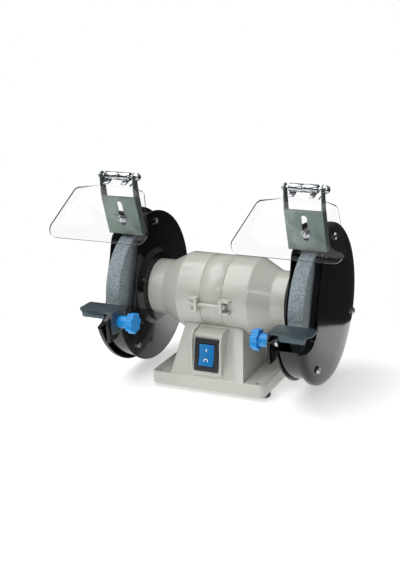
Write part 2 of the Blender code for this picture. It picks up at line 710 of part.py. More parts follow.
BAND_IN_X = PAN_FACE + 0.8 * MM
BAND_OUT_X = COVER_RIM_X - 0.4 * MM
PAN_LIP = 3 * MM
PAN_HOLE_R = 17 * MM
TAB_BACK = 0.3 * MM
TAB_LOW = 14 * MM
TAB_HIGH = 41 * MM
TAB_IN = -20 * MM
TAB_OUT = 9.4 * MM
TAB_T = 2 * MM
TAB_BRIDGE = 12 * MM
SCREW_HOLE_R = 3.3 * MM
COVER_NUT_X = PAN_FACE - GAP
ARM_SCREW = Vector((-62, -46)) * MM
ARM_SCREW_R = 2.5 * MM


def guard_pan(shaft, hand, side, bracket, finish):
    """Inner half of a guard: dished plate, welded band and the tab its bracket bolts to."""
    t = PAN_T
    pan = [(PAN_HOLE_R, PAN_BOSS), (BOSS_R, PAN_BOSS), (BOSS_FOOT_R, PAN_FACE),
           (PAN_R - 1.2 * MM, PAN_FACE), (PAN_R, PAN_FACE + 1.2 * MM),
           (PAN_R, PAN_FACE + PAN_LIP), (PAN_R - t, PAN_FACE + PAN_LIP),
           (PAN_R - t, PAN_FACE + t), (BOSS_FOOT_R - MM, PAN_FACE + t),
           (BOSS_R - MM, PAN_BOSS + t), (PAN_HOLE_R, PAN_BOSS + t)]
    plate = turned(f"guard_pan_{hand}", shaft, mirrored(pan, side), 40)
    band = [(BAND_R, BAND_IN_X), (BAND_R, BAND_OUT_X), (BAND_R - BAND_T, BAND_OUT_X),
            (BAND_R - BAND_T, BAND_IN_X)]
    join(plate, turned("band", shaft, mirrored(band, side), 40))
    cut(plate, front_cutter("front_gap", shaft, side, PAN_BOSS - BASE_T, BAND_OUT_X + BASE_T))
    join(plate, block("tab", bracket, (TAB_IN * side if side > 0 else -TAB_OUT,
                                       BRACKET_T + TAB_BACK, TAB_LOW),
                      (TAB_OUT if side > 0 else -TAB_IN, BRACKET_T + TAB_BACK + TAB_T, TAB_HIGH)))
    join(plate, block("tab_foot", bracket, (TAB_IN * side if side > 0 else -TAB_OUT,
                                            BRACKET_T + TAB_BACK + TAB_T / 2, TAB_LOW),
                      (TAB_OUT if side > 0 else -TAB_IN, TAB_BRIDGE, TAB_LOW + 4 * MM)))
    cut(plate, rod("tab_hole", bracket, (0, -BASE_T, BRACKET_SCREW_UP),
                   (0, BASE_T, BRACKET_SCREW_UP), SCREW_HOLE_R, 12))
    for angle in COVER_BOLT_AT:
        at = spoke(angle, COVER_BOLT_R)
        x = side * PAN_BOSS
        cut(plate, rod("bolt_hole", shaft, (x, at.y, at.z), (side * (PAN_FACE + BASE_T / 2),
                                                             at.y, at.z), 3.5 * MM, 10))
    cut(plate, rod("arm_hole", shaft, (side * PAN_BOSS, *ARM_SCREW),
                   (side * (PAN_FACE + BASE_T / 2), *ARM_SCREW), ARM_SCREW_R + 2 * GAP, 10))
    return dress(plate, finish)


def guard_cover(shaft, hand, side, finish):
    """Outer half of a guard: a shallow lid with a rim and a turned-in front edge."""
    t = COVER_T
    rim = GUARD_R - 0.5 * MM
    lid = [(0, COVER_CROWN), (70 * MM, COVER_CROWN), (COVER_CROWN_R + 12 * MM, COVER_FACE + 3 * MM),
           (COVER_FACE_R - 3 * MM, COVER_FACE + MM), (COVER_FACE_R + 2.5 * MM, COVER_FACE - 1.5 * MM),
           (rim - MM, COVER_FACE - 4.5 * MM), (rim, COVER_RIM_X + 5 * MM), (rim, COVER_RIM_X),
           (rim - t, COVER_RIM_X), (rim - t, COVER_RIM_X + 4.6 * MM),
           (rim - MM - t, COVER_FACE - 5.6 * MM), (COVER_FACE_R + MM, COVER_FACE - 3.4 * MM),
           (COVER_FACE_R - 3.6 * MM, COVER_FACE - MM), (COVER_CROWN_R + 11.6 * MM, COVER_FACE + MM),
           (70 * MM, COVER_CROWN - t), (0, COVER_CROWN - t)]
    cover = turned(f"guard_cover_{hand}", shaft, mirrored(lid, side), 40)
    line = guard_outline(-GUARD_FLANGE_T)
    back = guard_outline(GUARD_FLANGE_T + 0.8)
    flange = slab("front_flange", shaft, [line[1:] + list(reversed(back[1:]))],
                  side * GUARD_FLANGE_X, side * (COVER_FACE + 0.2 * MM))
    envelope = [(0, COVER_CROWN - MM), (70 * MM, COVER_CROWN - MM),
                (COVER_CROWN_R + 12 * MM, COVER_FACE + 2 * MM), (COVER_FACE_R - 3 * MM, COVER_FACE),
                (COVER_FACE_R + 2 * MM, COVER_FACE - 2 * MM),
                (rim - MM, COVER_FACE - 5 * MM), (rim - MM, COVER_RIM_X), (0, COVER_RIM_X)]
    boolean(flange, turned("lid_envelope", shaft, mirrored(envelope, side), 40), "INTERSECT")
    join(cover, flange)
    cut(cover, front_cutter("front_gap", shaft, side, COVER_RIM_X - BASE_T,
                            COVER_CROWN + BASE_T))
    for angle in COVER_BOLT_AT:
        at = spoke(angle, COVER_BOLT_R)
        cut(cover, rod("bolt_hole", shaft, (side * COVER_RIM_X, at.y, at.z),
                       (side * (COVER_CROWN + BASE_T), at.y, at.z), 3.5 * MM, 10))
    return dress(cover, finish)


def cover_bolts(shaft, hand, side, finish):
    """Three long bolts that hold a cover to its pan, each with its nut inside the pan's face."""
    seat = COVER_FACE + 3.9 * MM
    for place, angle in zip(("top", "rear", "front"), COVER_BOLT_AT):
        at = spoke(angle, COVER_BOLT_R)
        bolt = rod(f"cover_bolt_{place}_{hand}", shaft, (side * (PAN_FACE - 6.4 * MM), at.y, at.z),
                   (side * (seat + MM), at.y, at.z), 2.8 * MM, 10)
        join(bolt, rod("bolt_head", shaft, (side * seat, at.y, at.z),
                       (side * (seat + 3.4 * MM), at.y, at.z), 6 * MM, 12, 5 * MM))
        join(bolt, rod("bolt_nut", shaft, (side * COVER_NUT_X, at.y, at.z),
                       (side * (COVER_NUT_X - 4.6 * MM), at.y, at.z), 5.6 * MM, 6))
        dress(bolt, finish)


# ---- tool rest

BOLT_PLAY = 0.35 * MM
KNOB_FACE = REST_IN - 30.3 * MM
KNOB_STAR = REST_IN - 19.3 * MM
KNOB_HUB_R = 10.5 * MM
KNOB_HUB_END = REST_IN - GAP


def rest_arm(shaft, hand, side, finish):
    """Flat arm from the pan out to the rest's bolt, with its fixing screw and nut."""
    outline = rounded([(-156 * MM, -50 * MM), (-129 * MM, -50 * MM), (-119 * MM, -39 * MM),
                       (-80 * MM, -38 * MM), (-72 * MM, -58 * MM), (-50 * MM, -58 * MM),
                       (-50 * MM, -22 * MM), (-70 * MM, -14 * MM), (-156 * MM, -14 * MM)],
                      [3 * MM, 4 * MM, 6 * MM, 6 * MM, 4 * MM, 6 * MM, 6 * MM, 6 * MM, 3 * MM], 3)
    holes = [ring(REST_AXIS, REST_BOLT_R + BOLT_PLAY, 20)]
    arm = slab(f"rest_arm_{hand}", shaft, [outline] + holes, side * ARM_IN,
               side * (ARM_IN + ARM_T))
    join(arm, rod("arm_screw", shaft, (side * (PAN_FACE - 6 * MM), *ARM_SCREW),
                  (side * (ARM_IN + MM), *ARM_SCREW), ARM_SCREW_R, 10))
    join(arm, rod("arm_screw_head", shaft, (side * (PAN_FACE - GAP), *ARM_SCREW),
                  (side * (PAN_FACE - 4 * MM), *ARM_SCREW), 5 * MM, 12, 4.2 * MM))
    return dress(arm, finish)


def rest_bolt(pivot, hand, side, finish):
    """Carriage bolt through the arm and the rest, its tip in the knob."""
    bolt = rod(f"rest_bolt_{hand}", pivot, (side * (KNOB_FACE + 4 * MM), 0, 0),
               (side * (ARM_IN + ARM_T + MM), 0, 0), REST_BOLT_R, 20)
    join(bolt, rod("bolt_head", pivot, (side * (ARM_IN + ARM_T + GAP), 0, 0),
                   (side * (ARM_IN + ARM_T + 3.6 * MM), 0, 0), 8 * MM, SMALL, 6 * MM))
    return dress(bolt, finish)


def tool_rest(pivot, hand, side, finish):
    """Bent rest: top plate with a front lip, and the slotted flange its bolt clamps."""
    axis = REST_AXIS
    t = REST_PLATE_T
    top = REST_TOP - axis.y
    front = REST_FRONT - axis.x
    back = REST_BACK - axis.x
    plate = slab(f"tool_rest_{hand}", pivot, [rounded([
        (side * REST_IN, front), (side * (REST_OUT - 6 * MM), front), (side * REST_OUT, front + 8 * MM),
        (side * REST_OUT, back), (side * REST_IN, back)],
        [0, 4 * MM, 4 * MM, 4 * MM, 0])], top - t, top, Matrix.Identity(4))
    foot = REST_FLANGE_FOOT - axis.y
    low_front = REST_FLANGE_FRONT - axis.x
    low_back = REST_FLANGE_BACK - axis.x
    flange = rounded([(front, top - MM / 5), (low_front, top - 9 * MM), (low_front, foot),
                      (low_back - 6 * MM, foot), (low_back, foot + 8 * MM), (back, top - MM / 5)],
                     [0, 4 * MM, 6 * MM, 3 * MM, 3 * MM, 0])
    slot = stadium((0, 0), (REST_SLIDE, 0), REST_BOLT_R + BOLT_PLAY)
    join(plate, slab("rest_flange", pivot, [flange, slot], side * REST_IN, side * (REST_IN + t)))
    lip_in, lip_out = REST_IN + REST_LIP_IN, REST_OUT - REST_LIP_OUT
    lip = [(side * lip_in, top - MM / 5), (side * lip_out, top - MM / 5),
           (side * (lip_out - REST_LIP_TAPER), top - REST_LIP_H),
           (side * (lip_in + REST_LIP_TAPER), top - REST_LIP_H)]
    join(plate, slab("rest_lip", pivot, [rounded(lip, [0, 0, 3 * MM, 3 * MM])],
                     -front + MM / 5, -front - t, FACING))
    return dress(plate, finish)


def rest_knob(turn, hand, side, finish):
    """Star knob with a round hub, bored for the bolt's tip."""
    lobes = []
    for k in range(KNOB_LOBES * 4):
        angle = math.tau * k / (KNOB_LOBES * 4)
        r = KNOB_R - 2.2 * MM * (1 - math.cos(KNOB_LOBES * angle)) / 2 * 1.4
        lobes.append((r * math.cos(angle), r * math.sin(angle)))
    knob = slab(f"rest_knob_{hand}", turn, [lobes], side * KNOB_FACE, side * KNOB_STAR)
    soften(knob, 1.2 * MM, 1, 60)
    join(knob, rod("knob_hub", turn, (side * (KNOB_STAR - MM), 0, 0), (side * KNOB_HUB_END, 0, 0),
                   KNOB_HUB_R, 20, KNOB_HUB_R * 0.92))
    cut(knob, rod("knob_bore", turn, (side * (KNOB_FACE + 3.4 * MM), 0, 0),
                  (side * (REST_IN + BASE_T), 0, 0), REST_BOLT_R + BOLT_PLAY, 20))
    return dress(knob, finish)


# ---- eye shield and its bracket

HINGE_FOOT = HINGE - BRACKET_FOOT
HINGE_UP = -math.sin(LEAN) * HINGE_FOOT.x + math.cos(LEAN) * HINGE_FOOT.y
HINGE_DEEP = math.cos(LEAN) * HINGE_FOOT.x + math.sin(LEAN) * HINGE_FOOT.y
BRACKET_SLIDE = 8 * MM
NUT_R = 7 * MM


def shield_bracket(lean, hand, finish):
    """Slotted front plate between two side cheeks that rise to carry the hinge pin."""
    low = [(-BRACKET_HALF, 0), (BRACKET_HALF, 0), (BRACKET_HALF, BRACKET_H),
           (-BRACKET_HALF, BRACKET_H)]
    half = BRACKET_SLOT_W / 2
    slot = stadium((0, BRACKET_SCREW_UP - BRACKET_SLIDE), (0, BRACKET_SLOT_TOP - half), half)
    plate = slab(f"shield_bracket_{hand}", lean, [low, slot], 0, -BRACKET_T, FACING)
    side = rounded([(0.2 * MM, 0), (BRACKET_DEPTH - 4 * MM, -3.5 * MM), (BRACKET_DEPTH, 3 * MM),
                    (BRACKET_DEPTH, BRACKET_H - 4 * MM),
                    (HINGE_DEEP + 6.2 * MM, HINGE_UP + 6.4 * MM),
                    (HINGE_DEEP - 5.6 * MM, HINGE_UP + 6.4 * MM),
                    (0.2 * MM, BRACKET_H)], [0, 3 * MM, 3 * MM, 6 * MM, 6 * MM, 6 * MM, 0])
    hole = ring((HINGE_DEEP, HINGE_UP), PIN_R + GAP, 20)
    for edge in (-1, 1):
        join(plate, slab("bracket_side", lean, [side, hole], edge * BRACKET_HALF,
                         edge * (BRACKET_HALF - BRACKET_T)))
    return dress(plate, finish)


def bracket_screw(lean, hand, finish):
    """Pan-head screw with washer through the bracket's slot, and its nut behind the tab."""
    up = BRACKET_SCREW_UP
    behind = BRACKET_T + TAB_BACK + TAB_T + GAP
    screw = rod(f"bracket_screw_{hand}", lean, (0, -MM, up), (0, behind + 6 * MM, up),
                2.9 * MM, 16)
    join(screw, rod("washer", lean, (0, -1.8 * MM, up), (0, -GAP, up), 7 * MM, SMALL))
    join(screw, rod("screw_head", lean, (0, -1.6 * MM, up), (0, -5.4 * MM, up), 5.6 * MM,
                    SMALL, 4.4 * MM))
    join(screw, rod("screw_nut", lean, (0, behind, up), (0, behind + 4.6 * MM, up), 5.6 * MM, 6))
    cut(screw, block("drive", lean, (-4 * MM, -7 * MM, up - 0.6 * MM),
                     (4 * MM, -4 * MM, up + 0.6 * MM)))
    return dress(screw, finish)


def hinge_pin(hinge, hand, finish):
    """Rod through both cheeks with a small head at one end and an acorn nut at the other."""
    pin = rod(f"hinge_pin_{hand}", hinge, (-PIN_HALF - MM, 0, 0), (PIN_HALF + MM, 0, 0), PIN_R, 20)
    join(pin, rod("pin_head", hinge, (-PIN_HALF - 3 * MM, 0, 0),
                  (-BRACKET_HALF - GAP, 0, 0), 4.2 * MM, 20))
    start = BRACKET_HALF + GAP
    dome = [(NUT_R, start), (NUT_R, start + 4 * MM), (NUT_R * 0.8, start + 7 * MM),
            (NUT_R * 0.35, start + 9 * MM), (0, start + 9.3 * MM), (0, start)]
    join(pin, turned("acorn", hinge, dome, 20))
    return dress(pin, finish)


STRAP_IN = 12 * MM
STRAP_OUT = 20 * MM
STRAP_T = 2 * MM


def shield_line():
    """The shield seen from its side: (y, z, half width) rows from the flange to the foot."""
    foot = SHIELD_FOOT_X - SHIELD_CORNER
    rows = [(SHIELD_TOP, SHIELD_TOP_X),
            (SHIELD_TOP.lerp(SHIELD_BEND, SHIELD_NECK), SHIELD_TOP_X),
            (SHIELD_BEND.lerp(SHIELD_TOP, 0.06), SHIELD_BEND_X - 3 * MM)]
    full = 0.78
    for k in range(6):
        share = 0.03 + (full - 0.03) * k / 5
        rows.append((SHIELD_BEND.lerp(SHIELD_FOOT, share),
                     SHIELD_BEND_X + (SHIELD_WIDE_X - SHIELD_BEND_X) * share / full))
    for k in range(1, 6):
        turn = math.pi / 2 * k / 5
        share = full + (1 - full) * math.sin(turn)
        rows.append((SHIELD_BEND.lerp(SHIELD_FOOT, share),
                     foot + (SHIELD_WIDE_X - foot) * math.cos(turn)))
    return rows


def eye_shield(hinge, hand, finish):
    """Bent clear sheet: a narrow top flange, then a pane that widens and rounds at the foot."""
    bm = bmesh.new()
    cols = 6
    rows = []
    for point, half in shield_line():
        at = point - HINGE
        rows.append([bm.verts.new((half * (2 * c / cols - 1), at.x, at.y))
                     for c in range(cols + 1)])
    for upper, lower in zip(rows, rows[1:]):
        for c in range(cols):
            bm.faces.new((upper[c], lower[c], lower[c + 1], upper[c + 1]))
    pane = wrap(f"eye_shield_{hand}", from_bmesh("pane", bm), hinge)
    mod = pane.modifiers.new("sheet", "SOLIDIFY")
    mod.thickness = SHIELD_T
    mod.offset = 0
    return dress(pane, finish)


def shield_sleeve(hinge, hand, finish):
    """Tube turning on the pin, waisted in the middle, with two straps down to the shield."""
    bore = PIN_R + GAP
    profile = [(SLEEVE_R, SLEEVE_HALF), (SLEEVE_R, 1.5 * MM), (SLEEVE_R - 1.2 * MM, 1.4 * MM),
               (SLEEVE_R - 1.2 * MM, -1.4 * MM), (SLEEVE_R, -1.5 * MM), (SLEEVE_R, -SLEEVE_HALF),
               (bore, -SLEEVE_HALF), (bore, SLEEVE_HALF)]
    tube = turned(f"shield_sleeve_{hand}", hinge, profile, 16)
    top = SHIELD_TOP - HINGE
    way = (SHIELD_BEND - SHIELD_TOP).normalized()
    off = Vector((way.y, -way.x)) * (SHIELD_T / 2 + GAP)
    off = off if off.y > 0 else -off
    start = top + way * MM + off
    end = top + way * 12 * MM + off
    up = off.normalized() * STRAP_T
    strap = [tuple(start), tuple(end), tuple(end + up), (start.x - 2 * MM, start.y + 4 * MM),
             (-2 * MM, -4.6 * MM), (1.6 * MM, -4.6 * MM), (1.6 * MM, start.y + 2.2 * MM)]
    for edge in (-1, 1):
        join(tube, slab("strap", hinge, [strap], edge * STRAP_IN, edge * STRAP_OUT))
        mid = start.lerp(end, 0.62)
        x = edge * (STRAP_IN + STRAP_OUT) / 2
        head = mid + up * 1.9
        join(tube, rod("strap_screw", hinge, (x, *(mid + up / 2)), (x, *head), 3 * MM, 16,
                       2.4 * MM))
    return dress(tube, finish)


# ---- the whole grinder

def lean_frame(name, parent, at, angle):
    """A frame tilted about X."""
    made = empty(name, parent, at)
    made.rotation_euler = (angle, 0, 0)
    return made


def guard_side(shaft, rotor, hand, side, finishes):
    """Everything on one end of the motor."""
    end_bell(shaft, hand, side, finishes["enamel"])
    bearings(shaft, rotor, hand, side, finishes)
    wheel_set(rotor, hand, side, finishes)
    lean = lean_frame(f"bracket_frame_{hand}", shaft, (side * WHEEL_X, *BRACKET_FOOT), LEAN)
    guard_pan(shaft, hand, side, lean, finishes["black"])
    guard_cover(shaft, hand, side, finishes["black"])
    cover_bolts(shaft, hand, side, finishes["chrome"])
    rest_arm(shaft, hand, side, finishes["black"])
    pivot = empty(f"rest_pivot_{hand}", shaft, (0, *REST_AXIS))
    rest_bolt(pivot, hand, side, finishes["chrome"])
    tool_rest(pivot, hand, side, finishes["zinc"])
    rest_knob(pivot, hand, side, finishes["blue"])
    shield_bracket(lean, hand, finishes["zinc"])
    bracket_screw(lean, hand, finishes["chrome"])
    hinge = empty(f"hinge_{hand}", shaft, (side * WHEEL_X, *HINGE))
    hinge_pin(hinge, hand, finishes["chrome"])
    shield_sleeve(hinge, hand, finishes["chrome"])
    eye_shield(hinge, hand, finishes["clear"])


def build():
    """Build the grinder about its shaft centre."""
    finishes = {
        "enamel": finish_colour("grey_enamel", (0.58, 0.58, 0.54), 0, 0.35),
        "black": finish_colour("black_enamel", (0.01, 0.01, 0.012), 0, 0.2),
        "steel": finish_colour("steel", (0.5, 0.5, 0.5), 1, 0.35),
        "chrome": finish_colour("chrome", (0.8, 0.8, 0.8), 1, 0.12),
        "zinc": finish_colour("zinc_olive", (0.16, 0.19, 0.17), 0.6, 0.4),
        "grit": finish_colour("abrasive", (0.2, 0.25, 0.28), 0, 0.9),
        "copper": finish_colour("copper", (0.7, 0.3, 0.15), 1, 0.3),
        "rubber": finish_colour("rubber", (0.02, 0.02, 0.02), 0, 0.7),
        "plastic": finish_colour("plastic", (0.02, 0.02, 0.02), 0, 0.4),
        "blue": finish_colour("blue_plastic", (0.01, 0.3, 0.75), 0, 0.3),
        "clear": finish_colour("clear_sheet", (0.9, 0.9, 0.95), 0, 0.05),
    }
    shaft = empty("shaft_centre", None, (0, SHAFT_Y, SHAFT_H))
    switch = lean_frame("switch_frame", shaft, (0, *PANEL_MID), PANEL_TILT)
    base_casting(shaft, switch, finishes["enamel"])
    feet(shaft, finishes["rubber"])
    switch_housing(switch, finishes["plastic"])
    switch_rocker(switch, finishes["blue"])
    base_fittings(shaft, finishes)
    stator(shaft, finishes)
    tie_bolt(shaft, "front", -1, finishes["chrome"])
    tie_bolt(shaft, "rear", 1, finishes["chrome"])
    rotor = empty("rotor_axis", shaft, (0, 0, 0))
    rotor_pieces(rotor, finishes)
    for hand, side in (("left", -1), ("right", 1)):
        guard_side(shaft, rotor, hand, side, finishes)


clear_scene()
PARTS = collection("bench_grinder")
TOOLS = collection("cutters", hidden=True)
build()
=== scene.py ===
"""Looks of a twin-wheel bench grinder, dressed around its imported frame."""
import json
import logging
import math
from dataclasses import dataclass, field
from enum import Enum
from typing import Sequence

import bmesh
import bpy
from mathutils import Matrix, Vector


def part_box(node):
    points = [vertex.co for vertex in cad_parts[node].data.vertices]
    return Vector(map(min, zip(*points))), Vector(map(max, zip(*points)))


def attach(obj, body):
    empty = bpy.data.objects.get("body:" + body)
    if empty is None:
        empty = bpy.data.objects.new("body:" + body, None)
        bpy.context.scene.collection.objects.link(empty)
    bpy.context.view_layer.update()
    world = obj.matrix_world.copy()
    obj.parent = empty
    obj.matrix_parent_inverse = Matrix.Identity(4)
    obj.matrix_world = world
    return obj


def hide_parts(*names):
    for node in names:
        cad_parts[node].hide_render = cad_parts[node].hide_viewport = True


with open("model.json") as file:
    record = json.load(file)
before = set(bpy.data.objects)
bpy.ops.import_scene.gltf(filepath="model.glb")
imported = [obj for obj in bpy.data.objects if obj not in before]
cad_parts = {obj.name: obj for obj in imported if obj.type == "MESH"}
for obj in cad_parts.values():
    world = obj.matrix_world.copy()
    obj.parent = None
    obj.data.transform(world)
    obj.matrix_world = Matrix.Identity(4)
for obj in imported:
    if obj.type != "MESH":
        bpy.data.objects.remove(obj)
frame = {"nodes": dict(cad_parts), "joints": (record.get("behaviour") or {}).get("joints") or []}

LOG = logging.getLogger("bench_grinder")
MM = 0.001
WELD = 0.00001
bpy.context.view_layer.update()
SHAFT_LOW, SHAFT_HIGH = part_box("rotor_shaft")
SHAFT = (SHAFT_LOW + SHAFT_HIGH) / 2

Point2 = tuple[float, float]
Mesh = bpy.types.Object


class Hand(Enum):
    """The two ends of the machine, each with its direction along the shaft."""

    LEFT = ("left", -1)
    RIGHT = ("right", 1)

    @property
    def word(self) -> str:
        """Return the hand's word in node and body names."""
        return self.value[0]

    @property
    def sign(self) -> int:
        """Return -1 on the left and 1 on the right."""
        return self.value[1]


class Plane(Enum):
    """How a flat outline stands: its two axes and the way its thickness runs."""

    SIDE = ((0, 0, 1), (1, 0, 0), (0, 1, 0))
    LEVEL = ((1, 0, 0), (0, 1, 0), (0, 0, 1))
    FACING = ((1, 0, 0), (0, 0, -1), (0, 1, 0))


# ---- mesh tools; every place is measured from the shaft's centre

def keep(name: str, bm: bmesh.types.BMesh, at: Matrix = Matrix.Identity(4)) -> Mesh:
    """Turn a working mesh into an object placed on the shaft's centre.

    Args:
        name: name of the new object.
        bm: working mesh, freed here.
        at: placing applied to the mesh before the shaft's own.

    Returns:
        The new object.
    """
    bmesh.ops.transform(bm, verts=bm.verts, matrix=Matrix.Translation(SHAFT) @ at)
    bmesh.ops.recalc_face_normals(bm, faces=bm.faces)
    mesh = bpy.data.meshes.new(name)
    bm.to_mesh(mesh)
    bm.free()
    made = bpy.data.objects.new(name, mesh)
    bpy.context.scene.collection.objects.link(made)
    return made


def turned(name: str, corners: Sequence[Point2], facets: int, side: int = 1,
           at: Matrix = Matrix.Identity(4)) -> Mesh:
    """Turn a closed profile about the X axis.

    Args:
        name: name of the new object.
        corners: (radius, x) corners of the profile, closed on itself.
        facets: steps round the axis.
        side: -1 mirrors the profile to the left of the middle.
        at: placing of the turned piece.

    Returns:
        The turned solid.
    """
    bm = bmesh.new()
    ring = [bm.verts.new((x * side, 0, r)) for r, x in corners]
    edges = [bm.edges.new((a, b)) for a, b in zip(ring, ring[1:] + ring[:1])
             if a.co.z > WELD or b.co.z > WELD]
    bmesh.ops.spin(bm, geom=ring + edges, axis=(1, 0, 0), cent=(0, 0, 0), steps=facets,
                   angle=math.tau, use_duplicate=False)
    bmesh.ops.remove_doubles(bm, verts=bm.verts, dist=WELD)
    return keep(name, bm, at)


def slab(name: str, outlines: Sequence[Sequence[Point2]], near: float, far: float,
         plane: Plane = Plane.SIDE, at: Matrix = Matrix.Identity(4)) -> Mesh:
    """Give a flat outline a thickness; loops after the first are holes.

    Args:
        name: name of the new object.
        outlines: closed loops of corners.
        near: start of the thickness along the plane's third axis.
        far: end of the thickness.
        plane: how the outline stands.
        at: placing of the slab.

    Returns:
        The closed slab.
    """
    curve = bpy.data.curves.new(name, "CURVE")
    curve.dimensions = "2D"
    curve.fill_mode = "BOTH"
    curve.extrude = abs(far - near) / 2
    for loop in outlines:
        spline = curve.splines.new("POLY")
        spline.points.add(len(loop) - 1)
        for point, (u, v) in zip(spline.points, loop):
            point.co = (u, v, 0, 1)
        spline.use_cyclic_u = True
    held = bpy.data.objects.new(name, curve)
    bpy.context.scene.collection.objects.link(held)
    bm = bmesh.new()
    bm.from_mesh(baked_mesh(held))
    bpy.data.objects.remove(held)
    bmesh.ops.remove_doubles(bm, verts=bm.verts, dist=WELD)
    bmesh.ops.translate(bm, verts=bm.verts, vec=(0, 0, (near + far) / 2))
    return keep(name, bm, at @ Matrix(plane.value).to_4x4())


def rod(name: str, start: Sequence[float], end: Sequence[float], radius: float,
        facets: int = 32, tip: float | None = None, at: Matrix = Matrix.Identity(4)) -> Mesh:
    """Make a round bar, or a cone where `tip` differs from `radius`.

    Args:
        name: name of the new object.
        start: centre of the first end.
        end: centre of the far end.
        radius: radius at the start.
        facets: sides round the bar.
        tip: radius at the far end, the same as `radius` when left out.
        at: placing of the bar.

    Returns:
        The closed bar.
    """
    first, last = Vector(start), Vector(end)
    way = last - first
    bm = bmesh.new()
    bmesh.ops.create_cone(bm, cap_ends=True, segments=facets, radius1=radius,
                          radius2=radius if tip is None else tip, depth=way.length)
    turn = Matrix.Translation((first + last) / 2) @ way.to_track_quat("Z", "Y").to_matrix().to_4x4()
    return keep(name, bm, at @ turn)


def block(name: str, low: Sequence[float], high: Sequence[float],
          at: Matrix = Matrix.Identity(4)) -> Mesh:
    """Make a box between two corners.

    Args:
        name: name of the new object.
        low: one corner.
        high: the opposite corner.
        at: placing of the box.

    Returns:
        The closed box.
    """
    a, b = Vector(low), Vector(high)
    bm = bmesh.new()
    bmesh.ops.create_cube(bm, size=1)
    bmesh.ops.scale(bm, verts=bm.verts, vec=[abs(s) for s in b - a])
    bmesh.ops.translate(bm, verts=bm.verts, vec=(a + b) / 2)
    return keep(name, bm, at)


def baked_mesh(obj: Mesh) -> bpy.types.Mesh:
    """Return a new mesh of the object as its modifiers show it."""
    bpy.context.view_layer.update()
    ready = obj.evaluated_get(bpy.context.evaluated_depsgraph_get())
    return bpy.data.meshes.new_from_object(ready)


def combine(obj: Mesh, others: Sequence[Mesh], operation: str) -> Mesh:
    """Join to, or cut from, a solid and remove the tools used.

    Args:
        obj: the solid to change.
        others: solids to join or cut with.
        operation: "UNION", "DIFFERENCE" or "INTERSECT".

    Returns:
        The changed solid.
    """
    for other in others:
        mod = obj.modifiers.new(operation.lower(), "BOOLEAN")
        mod.operation = operation
        mod.solver = "EXACT"
        mod.object = other
    mesh = baked_mesh(obj)
    obj.modifiers.clear()
    obj.data = mesh
    for other in others:
        bpy.data.objects.remove(other)
    return obj


def soften(obj: Mesh, width: float, segments: int = 3, angle: float = 32) -> Mesh:
    """Round the crisp edges and shade the rest smooth.

    Args:
        obj: the piece to round.
        width: width of each rounding.
        segments: steps across it.
        angle: edges sharper than this, in degrees, are rounded.

    Returns:
        The same piece.
    """
    weld = obj.modifiers.new("weld", "WELD")
    weld.merge_threshold = WELD
    mod = obj.modifiers.new("rounding", "BEVEL")
    mod.width = width
    mod.segments = segments
    mod.limit_method = "ANGLE"
    mod.angle_limit = math.radians(angle)
    mod.harden_normals = True
    obj.data.shade_smooth()
    return obj


def round_loop(centre: Point2, radius: float, count: int = 40) -> list[Point2]:
    """Return a round outline about a centre."""
    return [(centre[0] + radius * math.cos(math.tau * k / count),
             centre[1] + radius * math.sin(math.tau * k / count)) for k in range(count)]


def lean_about_x(angle: float, at: Sequence[float]) -> Matrix:
    """Return the placing of a frame tilted about X at a point."""
    return Matrix.Translation(Vector(at)) @ Matrix.Rotation(angle, 4, "X")


def spoke(angle: float, radius: float) -> Point2:
    """Return (y, z) of a point round the shaft, in degrees upward from the front."""
    a = math.radians(angle)
    return -radius * math.cos(a), radius * math.sin(a)


# ---- finishes

def linear(hex_colour: str) -> tuple[float, float, float, float]:
    """Turn an sRGB hex colour into linear RGBA.

    Args:
        hex_colour: six hex digits with a leading #.

    Returns:
        Linear red, green, blue and full alpha.
    """
    out = []
    for k in (1, 3, 5):
        c = int(hex_colour[k:k + 2], 16) / 255
        out.append(c / 12.92 if c <= 0.04045 else ((c + 0.055) / 1.055) ** 2.4)
    return out[0], out[1], out[2], 1.0


def add_node(tree: bpy.types.NodeTree, kind: str, settings: dict | None = None,
             values: dict | None = None, links: dict | None = None) -> bpy.types.Node:
    """Add a node with its settings, its socket values and its incoming links.

    Args:
        tree: node tree to add to.
        kind: the node's Blender type.
        settings: attributes of the node itself.
        values: constants by input socket.
        links: output sockets by input socket.

    Returns:
        The new node.
    """
    made = tree.nodes.new(kind)
    for key, value in (settings or {}).items():
        setattr(made, key, value)
    for key, value in (values or {}).items():
        made.inputs[key].default_value = value
    for key, source in (links or {}).items():
        tree.links.new(source, made.inputs[key])
    return made


